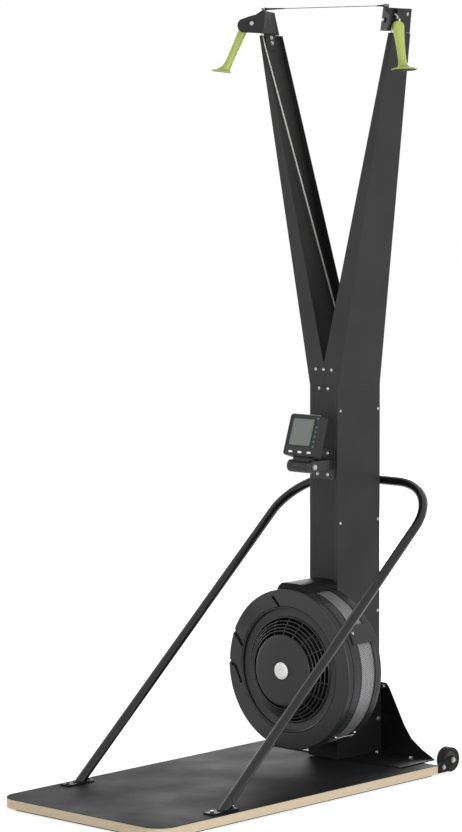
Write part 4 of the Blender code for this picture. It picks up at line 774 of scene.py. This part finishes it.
def perforated_band(radius, low, high, columns, rows):
    """Cells on a cylinder, each a square of eight rim points around an eight-sided hole. Every second row
    is moved on by half a cell, where the rim's corners meet the next row's middles."""
    row, column = np.meshgrid(np.arange(rows), np.arange(columns), indexing="ij")
    rim = np.array([(-1, -1), (0, -1), (1, -1), (1, 0), (1, 1), (0, 1), (-1, 1), (-1, 0)]) * 0.5
    turn = np.radians(np.array([225, 270, 315, 0, 45, 90, 135, 180]))
    hole = 0.31 * np.stack([np.cos(turn), np.sin(turn)], -1)
    cell = np.concatenate([rim, hole])
    across = (column[..., None] + 0.5 * (row[..., None] % 2) + cell[:, 0]) * 2 * np.pi / columns
    height = low + (row[..., None] + 0.5 + cell[:, 1]) * (high - low) / rows
    points = np.stack([radius * np.cos(across), radius * np.sin(across), height], -1).reshape(-1, 3)
    k = np.arange(8)
    quads = np.stack([k, (k + 1) % 8, (k + 1) % 8 + 8, k + 8], -1)
    faces = (np.arange(rows * columns)[:, None, None] * 16 + quads[None]).reshape(-1, 4)
    return carry(points, FAN_PLACE), faces.tolist(), np.zeros((len(faces) * 4, 2))


band_skin = perforated_band(BAND_RADIUS, BAND_LOW, BAND_HIGH, 240, 9)
band = piece("perforated_band", [band_skin], SILVER, "frame", ["cage_band"])
welded = band.modifiers.new("weld", "WELD")
welded.merge_threshold = WELD
sheet = band.modifiers.new("sheet", "SOLIDIFY")
sheet.thickness = 0.0010
sheet.offset = -1.0

FRONT_MOULDING = [
    (0.1748, 0.1484), (0.1748, 0.1356), (0.2180, 0.1356), (0.2185, 0.1336), (0.2216, 0.1332),
    (0.2225, 0.1322), (0.2225, 0.1285), (0.2216, 0.1277), (0.2188, 0.1272), (0.2188, 0.1248),
    (0.2216, 0.1243), (0.2225, 0.1235), (0.2225, 0.0985), (0.2216, 0.0976), (0.2190, 0.0970),
    (0.2190, 0.0950), (0.2212, 0.0945), (0.2212, 0.0905), (0.2160, 0.0903), (0.2160, 0.1330),
    (0.1715, 0.1330), (0.1710, 0.1356), (0.1480, 0.1352), (0.1430, 0.1352), (0.1425, 0.1420),
    (0.1440, 0.1440), (0.1468, 0.1440), (0.1490, 0.1385), (0.1696, 0.1402), (0.1708, 0.1474),
    (0.1726, 0.1486),
]
moulding_skins = [fan_ring(FRONT_MOULDING, 0.0010, 4, 180)]
WIRE_RADIUS = 0.0020
wire_turn = np.linspace(0, 2 * np.pi, 12, endpoint=False)
for radius, height in ((0.1355, 0.1485), (0.1265, 0.1555), (0.1180, 0.1615), (0.1095, 0.1665)):
    wire = np.stack([radius + WIRE_RADIUS * np.cos(wire_turn), height + WIRE_RADIUS * np.sin(wire_turn)], -1)
    moulding_skins.append(turned(wire, FAN_PLACE, 120, ring=True))
BOSS = [(0.0640, 0.1178), (0.0640, 0.1120), (0.0330, 0.1120), (0.0115, 0.1150), (0.0115, 0.1178)]
moulding_skins.append(fan_ring(BOSS, 0.001, 3, 96))
SPOKE_COUNT, SPOKE_LINE = 18, ((0.1440, 0.1395), (0.1355, 0.1460), (0.1180, 0.1590), (0.0960, 0.1690))
for number in range(SPOKE_COUNT):
    angle = 2 * np.pi * (number + 0.5) / SPOKE_COUNT
    spoke = np.array([fan_point(radius, angle, height) for radius, height in SPOKE_LINE])
    moulding_skins.append(tube(spoke, 0.0017, 8, (0, 1, 0)))
piece("front_moulding", moulding_skins, DARK_PLASTIC, "frame", ["cage_front"])

# A black sheet just inside the band, so that its holes show black: painted shade of the cage's inside.
SHADE_SHEET = finish("painted_shade_sheet", (0.010, 0.010, 0.010), 0.9, specular=0.05, grain=1500, depth=0.5, tone=0.3)
shade_sheet_outline = [(0.2164, 0.0360), (0.2170, 0.0360), (0.2170, 0.0900), (0.2164, 0.0900)]
piece("band_shade_sheet", [turned(shade_sheet_outline, FAN_PLACE, 120, ring=True)], SHADE_SHEET, "frame")

RIB_COUNT, RIB_RADIUS, RIB_LOW, RIB_HIGH = 120, 0.2222, 0.1010, 0.1210
ribs = []
for number in range(RIB_COUNT):
    angle = 2 * np.pi * number / RIB_COUNT
    rib = np.array([fan_point(RIB_RADIUS, angle, height) for height in (RIB_LOW, RIB_HIGH)])
    ribs.append(tube(rib, 0.0011, 6, fan_out(angle)))
piece("moulding_ribs", ribs, DARK_PLASTIC, "frame")
dress(["cage_clip"], DARK_PLASTIC, 0.0022, 4)

# Top strap: a matt black moulding bent over the top of the cage from its back to its front. Its outline, an
# arc below and a hump above, is carried forward and drawn in at both ends, and stays outside the cage.
STRAP_HALF, STRAP_BED, STRAP_MIDDLE = 0.056, 0.2229, np.array((0.0, 0.2290))
strap_reach = math.asin(STRAP_HALF / STRAP_BED)
strap_arc = np.linspace(strap_reach, -strap_reach, 16)
strap_inner = np.stack([STRAP_BED * np.sin(strap_arc), STRAP_BED * np.cos(strap_arc)], -1)
strap_hump = np.array(
    [(-0.0545, 0.2190), (-0.0470, 0.2310), (-0.0370, 0.2380), (-0.0260, 0.2398), (0.0, 0.2404)]
)
strap_hump = np.concatenate([strap_hump, strap_hump[-2::-1] * np.array((-1, 1))])
strap_line = soft_loop(np.concatenate([strap_inner, strap_hump]), 0.0016, 4)
STRAP_ENDS = ((0.0008, 0.97), (0.0030, 1.0), (0.0700, 1.0), (0.1320, 1.0), (0.1348, 0.985), (0.1358, 0.955))
strap_rows = []
for height, share in STRAP_ENDS:
    drawn_in = np.array((share, 0.6 + 0.4 * share))
    strap_rows.append(raised(STRAP_MIDDLE + (strap_line - STRAP_MIDDLE) * drawn_in, height))
strap_rows = np.stack(strap_rows)
over = np.hypot(strap_rows[..., 0], strap_rows[..., 1])
strap_rows[..., :2] *= (np.maximum(over, STRAP_BED) / over)[..., None]
strap = skin(carry(strap_rows, FAN_PLACE), wrap_columns=True, caps=True)
STRAP_BLACK = finish("strap_plastic", (0.008, 0.008, 0.008), 0.6, specular=0.08, grain=900, depth=0.2)
piece("top_strap", [strap], STRAP_BLACK, "frame", ["cage_strap"], 50)

# Damper ring: the flat outer ring of the face, a dark moulding turned by hand. It has a slot, a wedge and a
# hooked finger notch.
SLOT = [(106.0, 0.2050), (101.5, 0.1790)]
WEDGE = [(156.5, 0.2270), (160.0, 0.1990), (163.5, 0.1830)]
HOOK = [(179.5, 0.2270), (183.0, 0.2010), (189.0, 0.1905), (197.0, 0.1850)]
NOTCH_DEPTH = 0.0085


def near_line(x, z, line, half_width):
    """True where a point lies within half_width of a line through (angle in degrees, radius) points."""
    angle, radius = np.radians(np.array(line)).T[0], np.array(line).T[1]
    at = np.stack([radius * np.cos(angle), radius * np.sin(angle)], -1)
    start, run = at[:-1], np.diff(at, axis=0)
    from_start = np.stack([x, z], -1)[..., None, :] - start
    share = np.clip((from_start * run).sum(-1) / (run * run).sum(-1), 0, 1)
    return (np.linalg.norm(from_start - share[..., None] * run, axis=-1) < half_width).any(-1)


def ring_face(inner, outer, low, high, turns):
    """A flat ring whose face height at (radius, angle) drops inside each notch and a little in the grip
    beside the hook, with rounded edges."""
    angle = np.linspace(-np.pi, np.pi, turns, endpoint=False)
    share = np.concatenate([[0, 0.012, 0.03], np.linspace(0.05, 0.93, 34), [0.955, 0.975, 0.990, 1.0]])
    r, a = np.meshgrid(inner + (outer - inner) * share, angle, indexing="ij")
    x, z = r * np.cos(a), r * np.sin(a)
    edge = np.zeros_like(share)
    edge[:2] = (0.0012, 0.0003)
    edge[-4:] = (0.0003, 0.0010, 0.0022, 0.0046)
    notched = near_line(x, z, SLOT, 0.0036) | near_line(x, z, WEDGE, 0.0058) | near_line(x, z, HOOK, 0.0034)
    turn = np.degrees(a) % 360
    grip = (turn > 160) & (turn < 181 + (0.224 - r) * 120) & (r > 0.181)
    height = np.where(notched, high - NOTCH_DEPTH, high - edge[:, None] - 0.0016 * grip)
    face = np.stack([x, z, height], -1)
    outside = np.stack([x[-1], z[-1], np.full(turns, low)], -1)[None]
    bore = np.stack([x[0], z[0], np.full(turns, low)], -1)[None]
    return carry(np.concatenate([face, outside, bore]), FAN_PLACE)


damper = skin(ring_face(0.1760, 0.2238, 0.1364, 0.1490, 720), wrap_rows=True, wrap_columns=True)
piece("damper_face", [damper], DARK_PLASTIC, "damper_ring", ["damper_ring"], 30)

# Centre cover and hub cap: a matt grey moulded disc with a rounded rim stands over the hub in front of the
# guard, and a glossy white cap is pressed into its middle.
COVER_GREY = finish(
    "centre_cover_plastic", (0.031, 0.031, 0.0314), 0.55, specular=0.25, grain=900, depth=0.4, tone=0.05
)
WHITE_CAP = finish(
    "white_cap", (0.92, 0.92, 0.91), 0.3, specular=0.4, grain=500, depth=0.05, tone=0.02, scuff=0.02
)
COVER_LINE = [
    (0.0005, 0.1762), (0.0262, 0.1762), (0.0266, 0.1756), (0.0274, 0.1756), (0.0278, 0.1762),
    (0.0890, 0.1758), (0.0965, 0.1746), (0.1000, 0.1712), (0.1000, 0.1680), (0.0975, 0.1668),
    (0.0975, 0.1655), (0.0620, 0.1640), (0.0600, 0.1620), (0.0600, 0.1184), (0.0005, 0.1184),
]
cover = turned(smooth_path(COVER_LINE, 0.0020, 4), FAN_PLACE, 120)
piece("centre_disc", [cover], COVER_GREY, "frame", ["centre_cover"])
CAP_LINE = [
    (0.0005, 0.1818), (0.0170, 0.1816), (0.0218, 0.1808), (0.0238, 0.1790), (0.0240, 0.1765),
    (0.0005, 0.1765),
]
cap = turned(smooth_path(CAP_LINE, 0.0014, 5), FAN_PLACE, 64)
piece("white_hub_cap", [cap], WHITE_CAP, "frame", ["hub_cap"])

# Clip and latch hardware: a plated screw in the clip, and a bright wire bail across the band, held by a
# screw at the front moulding and two at the rear pan.
LATCH_ANGLE, CLIP_ANGLE = math.radians(-53.4), math.radians(31)
bail = np.array([fan_point(0.2262, LATCH_ANGLE, height) for height in np.linspace(0.101, 0.028, 8)])
latch = [tube(bail, 0.0019, 12, fan_out(LATCH_ANGLE))]
for height, aside in ((0.101, 0.0), (0.030, 0.045), (0.026, -0.045)):
    spot = fan_point(0.2228, LATCH_ANGLE + aside, height)
    latch += button_head(axes(spot, fan_out(LATCH_ANGLE)), 0.0042, 0.0040)
latch += button_head(axes(fan_point(0.2276, CLIP_ANGLE, 0.100), fan_out(CLIP_ANGLE)), 0.0034, 0.0022)
piece("latch_hardware", latch, ZINC, "frame")

# Monitor: a dark moulded housing with a grey-green display, six side buttons and three low ones. It tilts
# on a bolt through a moulded bracket, which is screwed to the front of the mast.
TILT = math.radians(18.3)
HINGE_Y, HINGE_Z = FRONT_Y - 0.089, 0.865
MONITOR_PLACE = (
    np.array((0.0, HINGE_Y, HINGE_Z)),
    RIGHT,
    np.array((0, math.cos(TILT), -math.sin(TILT))),
    np.array((0, math.sin(TILT), math.cos(TILT))),
)
HOUSING = finish(
    "monitor_housing", (0.014, 0.0143, 0.0146), 0.45, specular=0.28, grain=1300, depth=0.4, tone=0.06
)
TEAL_BUTTON = finish("side_button", (0.10, 0.15, 0.15), 0.5, specular=0.3, grain=800, depth=0.1)
PALE_BUTTON = finish("low_button", (0.80, 0.81, 0.80), 0.4, specular=0.4, grain=800, depth=0.05, tone=0.03)
dress(["monitor_back"], HOUSING, 0.0022, 3)
dress(["monitor_front"], HOUSING, 0.0009, 2)
dress(["monitor_bracket"], DARK_PLASTIC, 0.0016, 3)
dress([f"button_side_{number}" for number in range(1, 7)], TEAL_BUTTON, 0.0007, 3)
dress([f"button_low_{number}" for number in range(1, 4)], PALE_BUTTON, 0.0008, 3)


def make_display():
    """Grey-green panel with the faint cells of a liquid crystal grid."""
    panel, cell, line = (0.135, 0.155, 0.135), (0.145, 0.168, 0.145), (0.115, 0.13, 0.115)
    material = finish("display_panel", panel, 0.2, specular=0.5, grain=300, depth=0.02, coat=0.5)
    tree = material.node_tree
    place = add_node(tree, "TexCoord", {}).outputs["Object"]
    upright = add_node(tree, "Mapping", {"Vector": place, "Rotation": (math.pi / 2, 0, 0)}).outputs["Vector"]
    grid = add_node(tree, "TexBrick", {"Vector": upright, "Scale": 90.0, "Mortar Size": 0.02})
    set_inputs(tree, grid, {"Color1": (*panel, 1), "Color2": (*cell, 1), "Mortar": (*line, 1)})
    set_inputs(tree, tree.nodes["Principled BSDF"], {"Base Color": grid.outputs["Color"]})
    return material


dress(["display"], make_display(), 0.0003, 1)


def panel_line(left, right, low, high, radius):
    """A rectangle with rounded corners."""
    return soft_loop([(left, low), (right, low), (right, high), (left, high)], radius, 5)


def panel_skin(rows, ring=False):
    """Skin over rows of (outline, depth), each outline across and up the monitor at its depth behind the
    hinge."""
    points = np.stack([raised(line, depth)[:, [0, 2, 1]] for line, depth in rows])
    return skin(carry(points, MONITOR_PLACE), wrap_rows=ring, wrap_columns=True, caps=not ring)


def flat_ring(outer, width, near, far):
    """Frame between an outline and the same outline moved in by the width, from near to far."""
    centre = outer.mean(axis=0)
    half = np.abs(outer - centre).max(axis=0)
    inner = centre + (outer - centre) * (1 - width / half)
    section = ((outer, far), (outer, near + 0.0006), (outer + (inner - outer) * 0.2, near))
    section += ((inner + (outer - inner) * 0.2, near), (inner, near + 0.0006), (inner, far))
    return panel_skin(section, ring=True)


bezel = flat_ring(panel_line(-0.0485, 0.0365, 0.0505, 0.1325, 0.005), 0.003, -0.0287, -0.0270)
rim = flat_ring(panel_line(-0.0570, 0.0570, 0.0240, 0.1405, 0.009), 0.0022, -0.0284, -0.0270)
piece("monitor_bezel", [bezel, rim], HOUSING, "monitor")
# A pale grey rod along the housing's top edge: painted highlight of the lit top face.
TOP_HIGHLIGHT = finish("painted_top_highlight", (0.30, 0.31, 0.31), 0.4, specular=0.3, grain=900, depth=0.1)
highlight_line = [(x, -0.0262, z) for x, z in ((-0.050, 0.1412), (-0.02, 0.1416), (0.02, 0.1416), (0.050, 0.1412))]
highlight_path = smooth_path(carry(np.array(highlight_line), MONITOR_PLACE), 0.01)
piece("monitor_top_highlight", [tube(highlight_path, 0.0012, 10, (0, 0, 1))], TOP_HIGHLIGHT, "monitor")
monitor_screws = []
for x in (-0.040, 0.040):
    for z in (0.038, 0.126):
        place = axes(carry(np.array((x, 0.0015, z)), MONITOR_PLACE), MONITOR_PLACE[2])
        monitor_screws += button_head(place, 0.0026, 0.0014)
piece("monitor_screws", monitor_screws, ZINC, "monitor")
door = panel_line(-0.030, 0.030, 0.050, 0.108, 0.004)
door_middle = np.array((0.0, 0.079))
door_lip = door_middle + (door - door_middle) * 0.985
door_skin = panel_skin(((door, 0.0014), (door, 0.0026), (door_lip, 0.0031)))
piece("battery_door", [door_skin], HOUSING, "monitor")
bracket_bolts = []
for x in (-0.019, 0.019):
    for z in (0.896, 0.836):
        bracket_bolts += button_head(axes((x, FRONT_Y - GAP - 0.0031, z), -BACK), 0.0036, 0.0024)
for side in (-1, 1):
    bracket_bolts += hex_head(axes((side * 0.0434, HINGE_Y, HINGE_Z), (side, 0, 0)), 0.0130, 0.0048, 1.25)
piece("bracket_bolts", bracket_bolts, ZINC, "frame")

# Support hoop: one bent steel tube with a glossy black coat, welded to a bolted foot plate at each end and
# clamped to the back of the mast.
GLOSS_BLACK = finish(
    "gloss_black_coat", (0.005, 0.005, 0.005), 0.2, specular=0.36, grain=1200, depth=0.02, tone=0.2, coat=0.2
)
BLACK_ZINC = finish("black_zinc", (0.10, 0.10, 0.10), 0.34, metallic=0.9, grain=1500, depth=0.05)
PLATE_TOP, HOOP_TOP_Z = 0.0362, 0.8059
HOOP_X, HOOP_FOOT_Y, HOOP_BEND, HOOP_RADIUS, HOOP_SIDES = 0.2663, -0.335, 0.1630, 0.0130, 32
hoop_foot = np.array((0.0, HOOP_FOOT_Y, 0.0361))
hoop_top = np.array((0.0, FRONT_Y + 0.2044, HOOP_TOP_Z))
hoop_slope = (hoop_top - hoop_foot) / np.linalg.norm(hoop_top - hoop_foot)
leg = np.linalg.norm(hoop_top - hoop_foot) - HOOP_BEND
hoop_turn = np.linspace(0, np.pi / 2, 22)
bend_x = HOOP_X - HOOP_BEND * (1 - np.cos(hoop_turn))
bend_run = leg + HOOP_BEND * np.sin(hoop_turn)
half_x = np.concatenate([np.full(11, HOOP_X), bend_x])
half_run = np.concatenate([np.linspace(0.0, leg, 12)[:-1], bend_run])
half_path = hoop_foot + half_run[:, None] * hoop_slope + half_x[:, None] * RIGHT
hoop_path = np.concatenate([half_path, half_path[::-1] * np.array((-1.0, 1, 1))])
flat, faces, maps = tube(hoop_path, HOOP_RADIUS, HOOP_SIDES, np.cross(RIGHT, hoop_slope))
# The first and last ring slide along the slope until they lie flat on the foot plates.
ends = (np.arange(len(flat)) < HOOP_SIDES) | (np.arange(len(flat)) >= len(flat) - HOOP_SIDES)
drop = (flat[:, 2] - (PLATE_TOP + GAP)) / hoop_slope[2]
flat = np.where(ends[:, None], flat - drop[:, None] * hoop_slope, flat)
piece("bent_hoop", [(flat, faces, maps)], GLOSS_BLACK, "frame", ["hoop_tube"])
dress(["hoop_foot_left", "hoop_foot_right", "hoop_clamp"], BLACK_STEEL, 0.0009, 2)
foot_bolts = []
welds = []
turn = np.linspace(0, 2 * np.pi, 60)
ripple = np.sin(22 * turn)
for side in (-1, 1):
    for along in (-0.046, 0.032):
        foot_bolts += hex_head(axes((side * HOOP_X, HOOP_FOOT_Y + along, PLATE_TOP), UP), 0.0105, 0.0052)
    bead_x = side * HOOP_X + (HOOP_RADIUS + 0.0006) * np.cos(turn)
    bead_y = HOOP_FOOT_Y + (HOOP_RADIUS + 0.0004) / hoop_slope[2] * np.sin(turn)
    bead = np.stack([bead_x, bead_y, np.full(60, PLATE_TOP + 0.0004) + 0.0002 * ripple], -1)
    welds.append(tube(bead, 0.0018 + 0.0003 * ripple, 8, (0, 0, 1)))
piece("foot_bolts", foot_bolts, BLACK_ZINC, "frame")
piece("hoop_welds", welds, BLACK_STEEL, "frame")
clamp_bolts = []
for z in (-0.0135, 0.0135):
    clamp_bolts += hex_head(axes((0.0, FRONT_Y + 0.2226, HOOP_TOP_Z + z), BACK), 0.0085, 0.0042)
piece("clamp_bolts", clamp_bolts, ZINC, "frame")

# Transport wheels: two solid rubber tyres on moulded grey hubs, bolted to black steel plates behind the
# board. They hang just clear of the floor until the machine is tipped back onto them.
WHEEL_GREY = finish("wheel_hub", (0.034, 0.034, 0.0325), 0.5, specular=0.25, grain=800, depth=0.2)
dress(["wheel_fork_left", "wheel_fork_right"], BLACK_STEEL, 0.0008, 2)
WHEEL_X, WHEEL_Y, WHEEL_Z, WHEEL_OUTSIDE = 0.2795, 0.576, 0.0365, 0.2981
HALF_TYRE = [
    (0.0255, 0.0120), (0.0270, 0.0150), (0.0322, 0.0150), (0.0340, 0.0118), (0.0340, 0.0050),
    (0.0331, 0.0040),
]
HALF_HUB = [
    (0.0043, 0.0135), (0.0110, 0.0135), (0.0120, 0.0095), (0.0215, 0.0095), (0.0225, 0.0125),
    (0.0257, 0.0125),
]
wheel_bolts = []
for label, side in (("left", -1), ("right", 1)):
    place = axes((side * WHEEL_X, WHEEL_Y, WHEEL_Z), (side, 0, 0))
    body = f"transport_wheel_{label}"
    tyre = turned(soft_loop(two_faced(HALF_TYRE), 0.0012, 4), place, 64, ring=True)
    piece(f"tyre_{label}", [tyre], RUBBER, body, [body])
    hub = turned(soft_loop(two_faced(HALF_HUB), 0.0010, 3), place, 64, ring=True)
    piece(f"wheel_hub_{label}", [hub], WHEEL_GREY, body)
    wheel_bolts += hex_head(axes((side * WHEEL_OUTSIDE, WHEEL_Y, WHEEL_Z), (side, 0, 0)), 0.0110, 0.0045)
    plate_spot = (side * WHEEL_OUTSIDE, FRONT_Y + 0.171, 0.0220)
    wheel_bolts += hex_head(axes(plate_spot, (side, 0, 0)), 0.0090, 0.0040)
piece("wheel_bolts", wheel_bolts, ZINC, "frame")
